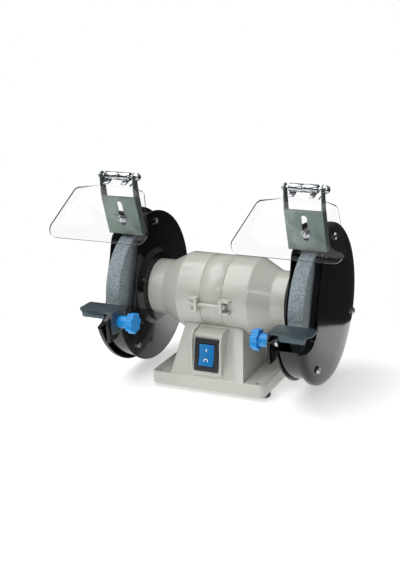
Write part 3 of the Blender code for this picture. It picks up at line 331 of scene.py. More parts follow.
@dataclass(frozen=True)
class Finish:
    """One real surface: its colours, its gloss and the fine relief it carries.

    A grain is the size of the pattern's features in metres; relief is their height.
    """

    name: str
    colour: str
    second: str
    metallic: float = 0.0
    roughness: float = 0.4
    rough_spread: float = 0.05
    specular: float = 0.5
    glow: float = 0.0
    coat: float = 0.0
    coat_roughness: float = 0.05
    grain: float = 2 * MM
    blotch: float = 25 * MM
    relief: float = 0.02 * MM
    stretch: tuple[float, float, float] = (1, 1, 1)
    speckle: str | None = None
    speckle_share: float = 0.3

    def build(self) -> bpy.types.Material:
        """Make the material from blotchy colour, uneven gloss and fine relief.

        Returns:
            The node-based material.
        """
        made = bpy.data.materials.new(self.name)
        made.use_nodes = True
        tree = made.node_tree
        shader = tree.nodes["Principled BSDF"]
        place = add_node(tree, "ShaderNodeTexCoord").outputs["Object"]
        where = add_node(tree, "ShaderNodeMapping", values={"Scale": self.stretch},
                         links={"Vector": place}).outputs["Vector"]
        blotches = add_node(tree, "ShaderNodeTexNoise", values={"Scale": 1 / self.blotch,
                            "Detail": 4.0}, links={"Vector": where}).outputs["Fac"]
        colour = add_node(tree, "ShaderNodeMix", {"data_type": "RGBA"},
                          {"A": linear(self.colour), "B": linear(self.second)},
                          {"Factor": blotches})
        hue = colour.outputs["Result"]
        grain = add_node(tree, "ShaderNodeTexNoise", values={"Scale": 1 / self.grain,
                         "Detail": 3.0}, links={"Vector": where}).outputs["Fac"]
        if self.speckle:
            hue = self.speckles(tree, where, hue)
        tree.links.new(hue, shader.inputs["Base Color"])
        gloss = add_node(tree, "ShaderNodeMapRange",
                         values={"To Min": max(self.roughness - self.rough_spread, 0.02),
                                 "To Max": self.roughness + self.rough_spread},
                         links={"Value": grain}).outputs["Result"]
        tree.links.new(gloss, shader.inputs["Roughness"])
        bump = add_node(tree, "ShaderNodeBump", values={"Distance": self.relief},
                        links={"Height": grain}).outputs["Normal"]
        tree.links.new(bump, shader.inputs["Normal"])
        shader.inputs["Metallic"].default_value = self.metallic
        shader.inputs["Specular IOR Level"].default_value = self.specular
        shader.inputs["Emission Color"].default_value = linear(self.colour)
        shader.inputs["Emission Strength"].default_value = self.glow
        shader.inputs["Coat Weight"].default_value = self.coat
        shader.inputs["Coat Roughness"].default_value = self.coat_roughness
        return made

    def speckles(self, tree: bpy.types.NodeTree, where: bpy.types.NodeSocket,
                 under: bpy.types.NodeSocket) -> bpy.types.NodeSocket:
        """Scatter grains of a second colour over the first.

        Args:
            tree: the material's node tree.
            where: coordinates of the pattern.
            under: colour beneath the grains.

        Returns:
            The speckled colour.
        """
        cells = add_node(tree, "ShaderNodeTexVoronoi", values={"Scale": 1 / self.grain},
                         links={"Vector": where}).outputs["Color"]
        pick = add_node(tree, "ShaderNodeSeparateColor", links={"Color": cells}).outputs["Red"]
        chosen = add_node(tree, "ShaderNodeMath", {"operation": "LESS_THAN"},
                          {1: self.speckle_share}, {0: pick}).outputs["Value"]
        mixed = add_node(tree, "ShaderNodeMix", {"data_type": "RGBA"},
                         {"B": linear(self.speckle or self.colour)},
                         {"Factor": chosen, "A": under})
        return mixed.outputs["Result"]


@dataclass(frozen=True)
class ClearSheet:
    """Polycarbonate sheet, clear through its faces with a faint even shine."""

    name: str = "clear_polycarbonate"
    tint: str = "#FEFEFF"
    roughness: float = 0.03
    scuff: float = 30 * MM
    skin: float = 0.02

    def build(self) -> bpy.types.Material:
        """Make thin see-through glazing with a mirror-like skin and faint scuffing.

        Returns:
            The node-based material.
        """
        made = bpy.data.materials.new(self.name)
        made.use_nodes = True
        tree = made.node_tree
        tree.nodes.remove(tree.nodes["Principled BSDF"])
        place = add_node(tree, "ShaderNodeTexCoord").outputs["Object"]
        cloud = add_node(tree, "ShaderNodeTexNoise", values={"Scale": 1 / self.scuff,
                         "Detail": 5.0}, links={"Vector": place}).outputs["Fac"]
        dull = add_node(tree, "ShaderNodeMapRange",
                        values={"To Min": self.roughness, "To Max": 2 * self.roughness},
                        links={"Value": cloud}).outputs["Result"]
        see = add_node(tree, "ShaderNodeBsdfTransparent",
                       values={"Color": linear(self.tint)}).outputs["BSDF"]
        skin = add_node(tree, "ShaderNodeBsdfGlossy", links={"Roughness": dull}).outputs["BSDF"]
        mixed = add_node(tree, "ShaderNodeMixShader", values={0: self.skin},
                         links={1: see, 2: skin})
        tree.links.new(mixed.outputs["Shader"],
                       tree.nodes["Material Output"].inputs["Surface"])
        return made


# Gloss stove enamel on castings: slight orange peel breaks the softbox's line
ENAMEL = Finish("stoved_grey_enamel", "#C9C9C1", "#C2C2B9", roughness=0.3, coat=0.5,
                coat_roughness=0.12, grain=1.6 * MM, relief=0.012 * MM)
# Black enamel over pressed steel: near-black with long clean reflections
BLACK = Finish("black_gloss_enamel", "#090B0D", "#0D0F12", roughness=0.11, specular=0.4,
               grain=3 * MM, relief=0.004 * MM)
# Vitrified aluminium oxide: grey grains of several shades, drawn coarse to be seen
GRIT = Finish("bonded_abrasive", "#98A3A8", "#707C82", roughness=0.92, specular=0.2,
              grain=1.1 * MM, relief=0.25 * MM, blotch=14 * MM, speckle="#AEB8BC",
              speckle_share=0.34)
# Olive passivated zinc on folded steel: soft sheen with a rolled grain along the sheet
OLIVE = Finish("olive_passivated_zinc", "#7F8E85", "#707E74", metallic=0.55, roughness=0.42,
               grain=1.5 * MM, relief=0.01 * MM, stretch=(0.25, 1, 1))
# Blue-grey passivated plate of the rests, smoother than the brackets
REST = Finish("grey_passivated_steel", "#56646B", "#4A585F", metallic=0.6, roughness=0.34,
              grain=1.5 * MM, relief=0.008 * MM, stretch=(0.3, 1, 1))
# Nickel-chrome plating on fasteners and sleeves: sharp, with polish marks
CHROME = Finish("bright_plating", "#C6C9CB", "#B4B8BC", metallic=1.0, roughness=0.16,
                grain=1 * MM, relief=0.002 * MM)
# Turned bright steel of flanges, shaft and bearings: rings of fine tool marks
STEEL = Finish("turned_steel", "#A9ABAD", "#9B9DA0", metallic=1.0, roughness=0.3,
               grain=0.8 * MM, relief=0.006 * MM, stretch=(4, 1, 1))
# Enamelled copper wire, drawn as bundles by stretched grain
COPPER = Finish("enamelled_copper_wire", "#B5652F", "#8E4A22", metallic=0.9, roughness=0.3,
                grain=1 * MM, relief=0.2 * MM)
# Injection-moulded black nylon with a fine spark-eroded texture
NYLON = Finish("black_moulded_nylon", "#1B1C1F", "#222327", roughness=0.42, grain=0.7 * MM,
               relief=0.02 * MM)
# Moulded rubber of the feet: dull, slightly dusty
RUBBER = Finish("moulded_rubber", "#1D1D1E", "#2A2A2A", roughness=0.75, grain=1 * MM,
                relief=0.03 * MM)
# Bright blue moulded knobs with a silky skin
BLUE = Finish("blue_moulded_knob", "#0E9AE8", "#0A8CDA", roughness=0.35, coat=0.15,
              grain=1.2 * MM, relief=0.01 * MM)
# Deeper translucent-looking blue of the switch's rocker
ROCKER = Finish("blue_moulded_rocker", "#1C7FC2", "#1673B4", roughness=0.25, coat=0.5,
                grain=1.2 * MM, relief=0.006 * MM)
# Pad-printed white on the rocker
WHITE = Finish("pad_printed_white", "#F2F4F4", "#E6E9EA", roughness=0.5, grain=1 * MM,
               relief=0.004 * MM)
# Cut edge of the clear sheet coloured violet-grey: painted shade and painted reflection for the dark
# line that light reflected inside the sheet shows along its edge
PAINTED_EDGE_SHADE = Finish("sheet_edge_painted_shade", "#45424F", "#38363F", roughness=0.25, coat=0.4,
                    grain=2 * MM, relief=0.01 * MM)
# Matt studio paper under the machine
PAPER = Finish("studio_paper", "#FBFBFB", "#F8F8F8", roughness=0.9, specular=0.1, glow=0.48,
               grain=4 * MM, relief=0.004 * MM)


class Finishes:
    """Builds each finish once and hands it out."""

    def __init__(self) -> None:
        """Start with nothing built."""
        self.made: dict[str, bpy.types.Material] = {}

    def put(self, obj: Mesh, finish: Finish | ClearSheet, place: int = 0) -> Mesh:
        """Dress a piece in one finish.

        Args:
            obj: the piece.
            finish: the finish to use.
            place: 0 for the piece's first finish, 1 to add a second.

        Returns:
            The same piece.
        """
        if finish.name not in self.made:
            self.made[finish.name] = finish.build()
        if place == 0:
            obj.data.materials.clear()
        obj.data.materials.append(self.made[finish.name])
        return obj


# ---- sub-assemblies

@dataclass
class Base:
    """Foot plate, pedestal and switch, carried over from the frame and softened."""

    rounding: float = 1.1 * MM
    rocker: str = "rocker"
    bar_size: tuple[float, float] = (1.6 * MM, 7 * MM)
    ring_size: tuple[float, float] = (2.6 * MM, 3.9 * MM)
    mark_t: float = 0.48 * MM
    rocker_tilt: float = math.radians(-11.1)
    bar_turn: float = math.radians(-5.7)
    bar_at: tuple[float, float, float] = (0, -7.1 * MM, 9 * MM)
    ring_turn: float = math.radians(9.8)
    ring_at: tuple[float, float, float] = (0, -8.0 * MM, -9 * MM)

    def dress(self, finishes: Finishes) -> None:
        """Soften the castings' edges and finish the base's own nodes.

        Args:
            finishes: the shared finishes.
        """
        nodes = frame["nodes"]
        finishes.put(soften(nodes["base_casting"], self.rounding), ENAMEL)
        for name in ("foot_front_left", "foot_front_right", "foot_rear_left",
                     "foot_rear_right", "cable_gland"):
            finishes.put(soften(nodes[name], 0.6 * MM), RUBBER)
        finishes.put(soften(nodes["switch_housing"], 0.5 * MM), NYLON)
        finishes.put(soften(nodes["switch_rocker"], 0.6 * MM), ROCKER)
        finishes.put(soften(nodes["capacitor"], 0.4 * MM), NYLON)
        LOG.info("base: casting, feet, switch and gland finished")

    def print_marks(self, finishes: Finishes) -> None:
        """Lay the plain bar and ring on the rocker's two faces.

        Args:
            finishes: the shared finishes.
        """
        hinge = next(j for j in frame["joints"] if j["name"] == "rocker_press")
        at = lean_about_x(self.rocker_tilt, Vector(hinge["pos_m"]) - SHAFT)
        upper = at @ lean_about_x(self.bar_turn, self.bar_at)
        lower = at @ lean_about_x(self.ring_turn, self.ring_at)
        half = self.bar_size[0] / 2, self.bar_size[1] / 2
        bar = slab("rocker_mark_bar", [[(-half[0], -half[1]), (half[0], -half[1]),
                                        (half[0], half[1]), (-half[0], half[1])]],
                   0, self.mark_t, Plane.FACING, upper)
        ring = slab("rocker_mark_ring", [round_loop((0, 0), self.ring_size[1]),
                                         round_loop((0, 0), self.ring_size[0])],
                    0, self.mark_t, Plane.FACING, lower)
        for mark in (bar, ring):
            finishes.put(mark, WHITE)
            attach(mark, self.rocker)


@dataclass
class Motor:
    """The two bells, the band between them and the long tie bolts."""

    radius: float = 64 * MM
    wall: float = 4 * MM
    band_half: float = 19.3 * MM
    drum_end: float = 63.3 * MM
    cone_end: float = 94.5 * MM
    collar_r: float = 46.4 * MM
    collar_end: float = 122.3 * MM
    shaft_hole: float = 10.8 * MM
    seat: tuple[float, float, float] = (23.7 * MM, 99 * MM, 114.4 * MM)
    tie_r: float = 69.2 * MM
    lug_wall: float = 5 * MM
    lug_z: float = 11.5 * MM
    lug_top: float = 75.5 * MM
    lug_out: dict = field(default_factory=lambda: {-1: 33 * MM, 1: 36 * MM})
    rib: float = 3 * MM
    bolt_way_r: float = 3 * MM
    facets: int = 128
    gap: float = 0.3 * MM

    def bell(self, hand: Hand, finishes: Finishes) -> None:
        """Turn one end bell, add its lugs and show it in place of the frame's.

        Args:
            hand: which end.
            finishes: the shared finishes.
        """
        side = hand.sign
        inner = self.radius - self.wall
        bore, near, far = self.seat
        start = self.band_half + self.gap / 2
        corners = [
            (self.radius - 0.5 * MM, start), (self.radius, start + 0.5 * MM),
            (self.radius, self.drum_end - 3 * MM), (self.radius - 0.25 * MM, self.drum_end - 1.4 * MM),
            (self.radius - 1.1 * MM, self.drum_end + 0.3 * MM),
            (self.collar_r + 0.9 * MM, self.cone_end - 1.6 * MM),
            (self.collar_r + 0.2 * MM, self.cone_end + 0.6 * MM),
            (self.collar_r, self.cone_end + 3 * MM), (self.collar_r, self.collar_end - MM),
            (self.collar_r - MM, self.collar_end), (self.shaft_hole, self.collar_end),
            (self.shaft_hole, far), (bore, far), (bore, near), (bore + 6 * MM, near),
            (bore + 6 * MM, far - 8 * MM), (self.collar_r - self.wall, far - 8 * MM),
            (self.collar_r - self.wall, self.cone_end - MM), (inner, self.drum_end - 2 * MM),
            (inner, start)]
        made = turned(f"motor_bell_{hand.word}", corners, self.facets, side)
        lugs = []
        for front in (-1, 1):
            lugs += self.lug(hand, front)
        combine(made, lugs, "UNION")
        holes = [rod("bolt_way", (side * start * 0.5, front * self.tie_r, 0),
                     (side * self.lug_out[side] * 1.6, front * self.tie_r, 0), self.bolt_way_r)
                 for front in (-1, 1)]
        combine(made, holes, "DIFFERENCE")
        core = rod("core_way", (side * start * 0.5, 0, 0),
                   (side * (self.drum_end - 4 * MM), 0, 0), inner, self.facets)
        combine(made, [core], "DIFFERENCE")
        finishes.put(soften(made, 0.7 * MM, 3, 34), ENAMEL)
        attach(made, "base")
        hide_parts(f"end_bell_{hand.word}")
        LOG.info("motor bell %s", hand.word)

    def lug(self, hand: Hand, front: int) -> list[Mesh]:
        """Make the wall and two ribs of one tie-bolt lug.

        Args:
            hand: which end of the motor.
            front: -1 for the front lug, 1 for the rear.

        Returns:
            The solids that make the lug.
        """
        side = hand.sign
        near = self.band_half + self.gap
        wall = near + self.lug_wall
        sunk, top = (self.radius - 2.5 * MM) * front, self.lug_top * front
        made = [block("lug_wall", (side * near, sunk, -self.lug_z),
                      (side * wall, top, self.lug_z))]
        for up in (-1, 1):
            made.append(block("lug_rib", (side * (wall - MM), sunk * 0.97, up * self.lug_z),
                              (side * self.lug_out[side], top * 0.985,
                               up * (self.lug_z - self.rib))))
        return made

    def band(self, finishes: Finishes) -> None:
        """Turn the plain ring between the bells."""
        outer, half = self.radius - 0.2 * MM, self.band_half
        corners = [(outer - 0.6 * MM, -half), (outer, 0.6 * MM - half), (outer, half - 0.6 * MM),
                   (outer - 0.6 * MM, half), (outer - self.wall, half),
                   (outer - self.wall, -half)]
        made = turned("motor_band", corners, self.facets)
        finishes.put(soften(made, 0.2 * MM, 1, 50), ENAMEL)
        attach(made, "base")
        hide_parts("stator_band")

    def tie_bolt(self, where: str, front: int, finishes: Finishes) -> None:
        """Make a tie bolt: rod, domed slotted head at the right and nut at the left.

        Args:
            where: "front" or "rear".
            front: -1 or 1, the side of the motor it lies on.
            finishes: the shared finishes.
        """
        seat = self.band_half + 2 * self.gap + self.lug_wall
        y = front * self.tie_r
        made = rod(f"tie_rod_{where}", (-37 * MM, y, 0), (seat + MM, y, 0), 2.6 * MM)
        head = [rod("tie_head", (seat, y, 0), (seat + 2.4 * MM, y, 0), 4.7 * MM),
                rod("tie_dome", (seat + 2.3 * MM, y, 0), (seat + 4.2 * MM, y, 0), 4.6 * MM,
                    32, 3.2 * MM),
                rod("tie_nut", (-seat - 4 * MM, y, 0), (-seat, y, 0), 4.7 * MM, 6)]
        combine(made, head, "UNION")
        combine(made, [block("tie_slot", (seat + 3 * MM, y - 6 * MM, -0.6 * MM),
                             (seat + 6 * MM, y + 6 * MM, 0.6 * MM))], "DIFFERENCE")
        finishes.put(soften(made, 0.3 * MM, 2), ENAMEL)
        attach(made, "base")
        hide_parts(f"tie_bolt_{where}")

    def dress(self, finishes: Finishes) -> None:
        """Build the outside of the motor and finish what is inside it.

        Args:
            finishes: the shared finishes.
        """
        for hand in Hand:
            self.bell(hand, finishes)
            for name in ("bearing_outer", "bearing_inner"):
                finishes.put(soften(frame["nodes"][f"{name}_{hand.word}"], 0.4 * MM), STEEL)
        self.band(finishes)
        self.tie_bolt("front", -1, finishes)
        self.tie_bolt("rear", 1, finishes)
        for name in ("rotor_shaft", "rotor_core", "stator_core"):
            finishes.put(soften(frame["nodes"][name], 0.3 * MM), STEEL)
        finishes.put(soften(frame["nodes"]["stator_winding"], 1.5 * MM), COPPER)


@dataclass
class Wheels:
    """The two grinding wheels with their flanges and nuts."""

    radius: float = 100 * MM
    width: float = 25 * MM
    middle: float = 157.8 * MM
    bore: float = 8.2 * MM
    edge: float = 1.2 * MM
    facets: int = 160

    def dress(self, finishes: Finishes) -> None:
        """Turn both wheels and finish their hardware.

        Args:
            finishes: the shared finishes.
        """
        near, far = self.middle - self.width / 2, self.middle + self.width / 2
        worn = 0.3 * self.edge
        corners = [(self.radius - self.edge, near), (self.radius - worn, near + worn),
                   (self.radius, near + self.edge), (self.radius, far - self.edge),
                   (self.radius - worn, far - worn),
                   (self.radius - self.edge, far), (self.bore, far), (self.bore, near)]
        for hand in Hand:
            made = turned(f"wheel_{hand.word}", corners, self.facets, hand.sign)
            finishes.put(soften(made, 0.2 * MM, 1, 60), GRIT)
            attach(made, "rotor")
            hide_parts(f"grinding_wheel_{hand.word}")
            for name in ("inner_flange", "outer_flange", "arbor_nut"):
                finishes.put(soften(frame["nodes"][f"{name}_{hand.word}"], 0.5 * MM), STEEL)
        LOG.info("wheels turned")


@dataclass
class Guards:
    """Pressed pans and covers round the wheels, cut away along one front line."""

    pan_face: float = 132.4 * MM
    pan_r: float = 126.8 * MM
    sheet: float = 1.6 * MM
    boss: float = 122.7 * MM
    boss_r: float = 58 * MM
    boss_foot_r: float = 64 * MM
    hole_r: float = 17 * MM
    band_r: float = 122.4 * MM
    band_x: tuple[float, float] = (133.2 * MM, 167.6 * MM)
    rim_x: float = 168 * MM
    rim_r: float = 130 * MM
    face: float = 180 * MM
    crown: float = 185.5 * MM
    cover_t: float = 2 * MM
    flange_x: float = 173 * MM
    bolt_r: float = 110 * MM
    bolt_at: tuple[float, ...] = (95, 203, -49)
    bolt_seat: float = 183.9 * MM
    arm_screw: Point2 = (-62 * MM, -46 * MM)
    bolt_way_r: float = 3.4 * MM
    arm_way_r: float = 3 * MM
    way_end: float = 145 * MM
    beyond: float = 20 * MM
    reach: float = 160 * MM
    facets: int = 144
    front_line: tuple[Point2, ...] = (
        (-41, 96.5), (-48, 93), (-54, 60), (-66, 30), (-74, 0), (-78, -18), (-86, -33),
        (-100, -41), (-116, -42.5))

    def line(self, back: float = 0.0) -> list[Point2]:
        """Return the front line in metres, its bends eased, moved back by `back` metres."""
        corners = [Vector(p) * MM for p in self.front_line]
        out = [corners[0]]
        for before, here, after in zip(corners, corners[1:], corners[2:]):
            first = here.lerp(before, 0.4)
            last = here.lerp(after, 0.4)
            out += [first * (1 - t) ** 2 + here * 2 * t * (1 - t) + last * t * t
                    for t in (0.0, 0.25, 0.5, 0.75, 1.0)]
        out.append(corners[-1])
        return [(p.x + back, p.y) for p in out]

    def front_tool(self, side: int, near: float, far: float) -> Mesh:
        """Make the solid that cuts the front opening between two distances along the shaft."""
        line = self.line()
        loop = [(line[0][0], self.reach)] + line + [(-self.reach, line[-1][1]),
                                                    (-self.reach, self.reach)]
        return slab("front_gap", [loop], side * near, side * far)

    def pan(self, hand: Hand, bracket: "Brackets", finishes: Finishes) -> None:
        """Press one pan, weld its band and tab on and cut its opening.

        Args:
            hand: which end.
            bracket: the brackets, for the tab's slope and its screw.
            finishes: the shared finishes.
        """
        side, t = hand.sign, self.sheet
        corners = [(self.hole_r, self.boss), (self.boss_r - 3 * MM, self.boss),
                   (self.boss_r, self.boss + 0.6 * MM),
                   (self.boss_foot_r - MM, self.pan_face - 1.4 * MM),
                   (self.boss_foot_r + 1.5 * MM, self.pan_face),
                   (self.pan_r - 1.6 * MM, self.pan_face),
                   (self.pan_r - 0.4 * MM, self.pan_face + 0.5 * MM),
                   (self.pan_r, self.pan_face + 1.6 * MM), (self.pan_r, self.pan_face + 3 * MM),
                   (self.pan_r - t, self.pan_face + 3 * MM), (self.pan_r - t, self.pan_face + t),
                   (self.boss_foot_r - MM, self.pan_face + t), (self.boss_r - MM, self.boss + t),
                   (self.hole_r, self.boss + t)]
        made = turned(f"guard_shell_{hand.word}", corners, self.facets, side)
        r, (near, far) = self.band_r, self.band_x
        combine(made, [turned("band", [(r, near), (r, far), (r - 2 * MM, far),
                                       (r - 2 * MM, near)], self.facets, side)], "UNION")
        combine(made, [self.front_tool(side, self.boss - self.beyond, far + self.beyond)], "DIFFERENCE")
        combine(made, bracket.tab(side), "UNION")
        y, z = self.arm_screw
        tools = [rod("arm_way", (side * self.boss, y, z), (side * self.way_end, y, z),
                     self.arm_way_r),
                 bracket.screw_way(side)]
        for angle in self.bolt_at:
            y, z = spoke(angle, self.bolt_r)
            tools.append(rod("bolt_way", (side * self.boss, y, z), (side * self.way_end, y, z),
                             self.bolt_way_r))
        combine(made, tools, "DIFFERENCE")
        finishes.put(soften(made, 0.35 * MM, 2, 34), BLACK)
        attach(made, "base")
        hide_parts(f"guard_pan_{hand.word}")

    def cover(self, hand: Hand, finishes: Finishes) -> None:
        """Press one outer cover with its rim, crowned face and turned-in front edge.

        Args:
            hand: which end.
            finishes: the shared finishes.
        """
        side, t, r = hand.sign, self.cover_t, self.rim_r
        skin = [(0, self.crown), (70 * MM, self.crown), (90 * MM, self.crown - 0.7 * MM),
                (108 * MM, self.face + 3 * MM), (119 * MM, self.face + 1.4 * MM),
                (123 * MM, self.face + 0.3 * MM), (126 * MM, self.face - 1.6 * MM),
                (128.4 * MM, self.face - 3.8 * MM), (r - 0.3 * MM, self.face - 5.6 * MM),
                (r, self.face - 7.4 * MM), (r, self.rim_x)]
        inner = [(max(a - t * 0.35, 0) if a < 124 * MM else a - t,
                  x - t if a < 127 * MM else x - t * 0.7)
                 for a, x in skin[:-1]] + [(r - t, self.rim_x)]
        made = turned(f"guard_lid_{hand.word}", skin + list(reversed(inner)), self.facets, side)
        front = self.line(-t)
        back = self.line(2.4 * MM)
        flange = slab("front_flange", [front[3:] + list(reversed(back[3:]))],
                      side * self.flange_x, side * (self.face + 0.2 * MM))
        room = [(0, self.crown - MM), (70 * MM, self.crown - MM), (108 * MM, self.face + 2 * MM),
                (120.5 * MM, self.face), (125.5 * MM, self.face - 2 * MM),
                (r - MM, self.face - 6 * MM), (r - MM, self.rim_x), (0, self.rim_x)]
        combine(flange, [turned("lid_room", room, self.facets, side)], "INTERSECT")
        combine(made, [flange], "UNION")
        tools = [self.front_tool(side, self.rim_x - self.beyond, self.crown + self.beyond)]
        for angle in self.bolt_at:
            y, z = spoke(angle, self.bolt_r)
            tools.append(rod("bolt_way", (side * self.rim_x, y, z),
                             (side * (self.crown + self.beyond), y, z), self.bolt_way_r))
        combine(made, tools, "DIFFERENCE")
        finishes.put(soften(made, 0.7 * MM, 3, 34), BLACK)
        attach(made, "base")
        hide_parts(f"guard_cover_{hand.word}")

    def bolt(self, hand: Hand, place: str, angle: float, finishes: Finishes) -> None:
        """Make one long cover bolt with a domed cross-slotted head and its nut.

        Args:
            hand: which end.
            place: the bolt's place in its node name.
            angle: its place round the shaft, degrees upward from the front.
            finishes: the shared finishes.
        """
        side = hand.sign
        y, z = spoke(angle, self.bolt_r)
        seat = self.bolt_seat
        made = rod(f"cover_screw_{place}_{hand.word}", (side * (self.pan_face - 6.4 * MM), y, z),
                   (side * (seat + MM), y, z), 2.8 * MM)
        parts = [rod("head", (side * seat, y, z), (side * (seat + 1.6 * MM), y, z), 6 * MM),
                 rod("dome", (side * (seat + 1.5 * MM), y, z), (side * (seat + 3.3 * MM), y, z),
                     5.9 * MM, 32, 3.6 * MM),
                 rod("nut", (side * (self.pan_face - 0.3 * MM), y, z),
                     (side * (self.pan_face - 4.9 * MM), y, z), 5.6 * MM, 6)]
        combine(made, parts, "UNION")
        arm = 3.2 * MM
        cross = [block("drive", (side * (seat + 2 * MM), y - arm, z - 0.6 * MM),
                       (side * (seat + 6 * MM), y + arm, z + 0.6 * MM)),
                 block("drive", (side * (seat + 2 * MM), y - 0.6 * MM, z - arm),
                       (side * (seat + 6 * MM), y + 0.6 * MM, z + arm))]
        combine(made, cross, "DIFFERENCE")
        finishes.put(soften(made, 0.35 * MM, 2), CHROME)
        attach(made, "base")
        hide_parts(f"cover_bolt_{place}_{hand.word}")

    def dress(self, bracket: "Brackets", finishes: Finishes) -> None:
        """Build both guards.

        Args:
            bracket: the shield brackets the pans carry.
            finishes: the shared finishes.
        """
        for hand in Hand:
            self.pan(hand, bracket, finishes)
            self.cover(hand, finishes)
            for place, angle in zip(("top", "rear", "front"), self.bolt_at):
                self.bolt(hand, place, angle, finishes)
            LOG.info("guard %s", hand.word)


@dataclass
class Brackets:
    """Leaning slotted brackets above the guards, with the hinge pins they carry."""

    lean: float = math.radians(16.3)
    foot: Point2 = (-44.1 * MM, 97.9 * MM)
    middle: float = 157.8 * MM
    sheet: float = 2 * MM
    tab_t: float = 2 * MM
    tab_x: tuple[float, float] = (-20 * MM, 9.4 * MM)
    tab_up: tuple[float, float] = (14 * MM, 41 * MM)
    tab_bridge: float = 12 * MM
    screw_up: float = 29.5 * MM
    half: float = 30.8 * MM
    hinge: Point2 = (-58 * MM, 197.5 * MM)
    pin_r: float = 3 * MM
    gap: float = 0.3 * MM

    def place(self, side: int) -> Matrix:
        """Return the placing of the leaning frame at a bracket's foot."""
        return lean_about_x(self.lean, (side * self.middle, *self.foot))

    def tab(self, side: int) -> list[Mesh]:
        """Make the welded tab behind a bracket and the foot that joins it to the band."""
        low, high = sorted((side * self.tab_x[0], side * self.tab_x[1]))
        front = self.sheet + self.gap
        at = self.place(side)
        return [block("tab", (low, front, self.tab_up[0]),
                      (high, front + self.tab_t, self.tab_up[1]), at),
                block("tab_foot", (low, front + self.tab_t / 2, self.tab_up[0]),
                      (high, self.tab_bridge, self.tab_up[0] + 4 * MM), at)]

    def screw_way(self, side: int) -> Mesh:
        """Make the tool that drills the bracket screw's hole."""
        return rod("screw_way", (0, -20 * MM, self.screw_up), (0, 20 * MM, self.screw_up),
                   3.3 * MM, 32, None, self.place(side))

    def screw(self, hand: Hand, finishes: Finishes) -> None:
        """Make the clamping screw: domed slotted head, spring ring, washer, shank and nut.

        Args:
            hand: which end.
            finishes: the shared finishes.
        """
        at, up = self.place(hand.sign), self.screw_up
        behind = self.sheet + self.tab_t + 2 * self.gap
        made = rod(f"clamp_screw_{hand.word}", (0, -MM, up), (0, behind + 6 * MM, up), 2.9 * MM,
                   32, None, at)
        parts = [rod("washer", (0, -1.4 * MM, up), (0, -self.gap, up), 7 * MM, 40, None, at),
                 rod("spring_ring", (0, -2.6 * MM, up), (0, -1.3 * MM, up), 5.4 * MM, 32, None, at),
                 rod("head", (0, -2.5 * MM, up), (0, -3.9 * MM, up), 5.6 * MM, 32, None, at),
                 rod("dome", (0, -3.8 * MM, up), (0, -5.3 * MM, up), 5.5 * MM, 32, 3.4 * MM, at),
                 rod("nut", (0, behind, up), (0, behind + 4.6 * MM, up), 5.6 * MM, 6, None, at)]
        combine(made, parts, "UNION")
        combine(made, [block("drive", (-4 * MM, -7 * MM, up - 0.6 * MM),
                             (4 * MM, -4.2 * MM, up + 0.6 * MM), at)], "DIFFERENCE")
        finishes.put(soften(made, 0.3 * MM, 2), CHROME)
        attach(made, "base")
        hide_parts(f"bracket_screw_{hand.word}")

    def pin(self, hand: Hand, finishes: Finishes) -> None:
        """Make the hinge rod with its flat head and acorn nut.

        Args:
            hand: which end.
            finishes: the shared finishes.
        """
        at = Matrix.Translation((hand.sign * self.middle, *self.hinge))
        start = self.half + self.gap
        made = rod(f"shield_rod_{hand.word}", (-start - 2 * MM, 0, 0), (start + MM, 0, 0),
                   self.pin_r, 32, None, at)
        head = rod("pin_head", (-start - 3.8 * MM, 0, 0), (-start, 0, 0), 4.2 * MM, 32, None, at)
        hexagon = rod("acorn_hex", (start, 0, 0), (start + 4 * MM, 0, 0), 7 * MM, 6, None, at)
        dome = [(0, start + 3.9 * MM), (6 * MM, start + 3.9 * MM), (5.9 * MM, start + 5.6 * MM),
                (5.1 * MM, start + 7.4 * MM), (3.6 * MM, start + 8.7 * MM),
                (1.6 * MM, start + 9.2 * MM), (0, start + 9.3 * MM)]
        combine(made, [head, hexagon, turned("acorn", dome, 40, 1, at)], "UNION")
        finishes.put(soften(made, 0.4 * MM, 2), CHROME)
        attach(made, f"bracket_{hand.word}")
        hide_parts(f"hinge_pin_{hand.word}")

    def dress(self, finishes: Finishes) -> None:
        """Finish the folded brackets and build their hardware.

        Args:
            finishes: the shared finishes.
        """
        for hand in Hand:
            finishes.put(soften(frame["nodes"][f"shield_bracket_{hand.word}"], 0.6 * MM), OLIVE)
            self.screw(hand, finishes)
            self.pin(hand, finishes)
        LOG.info("brackets finished")


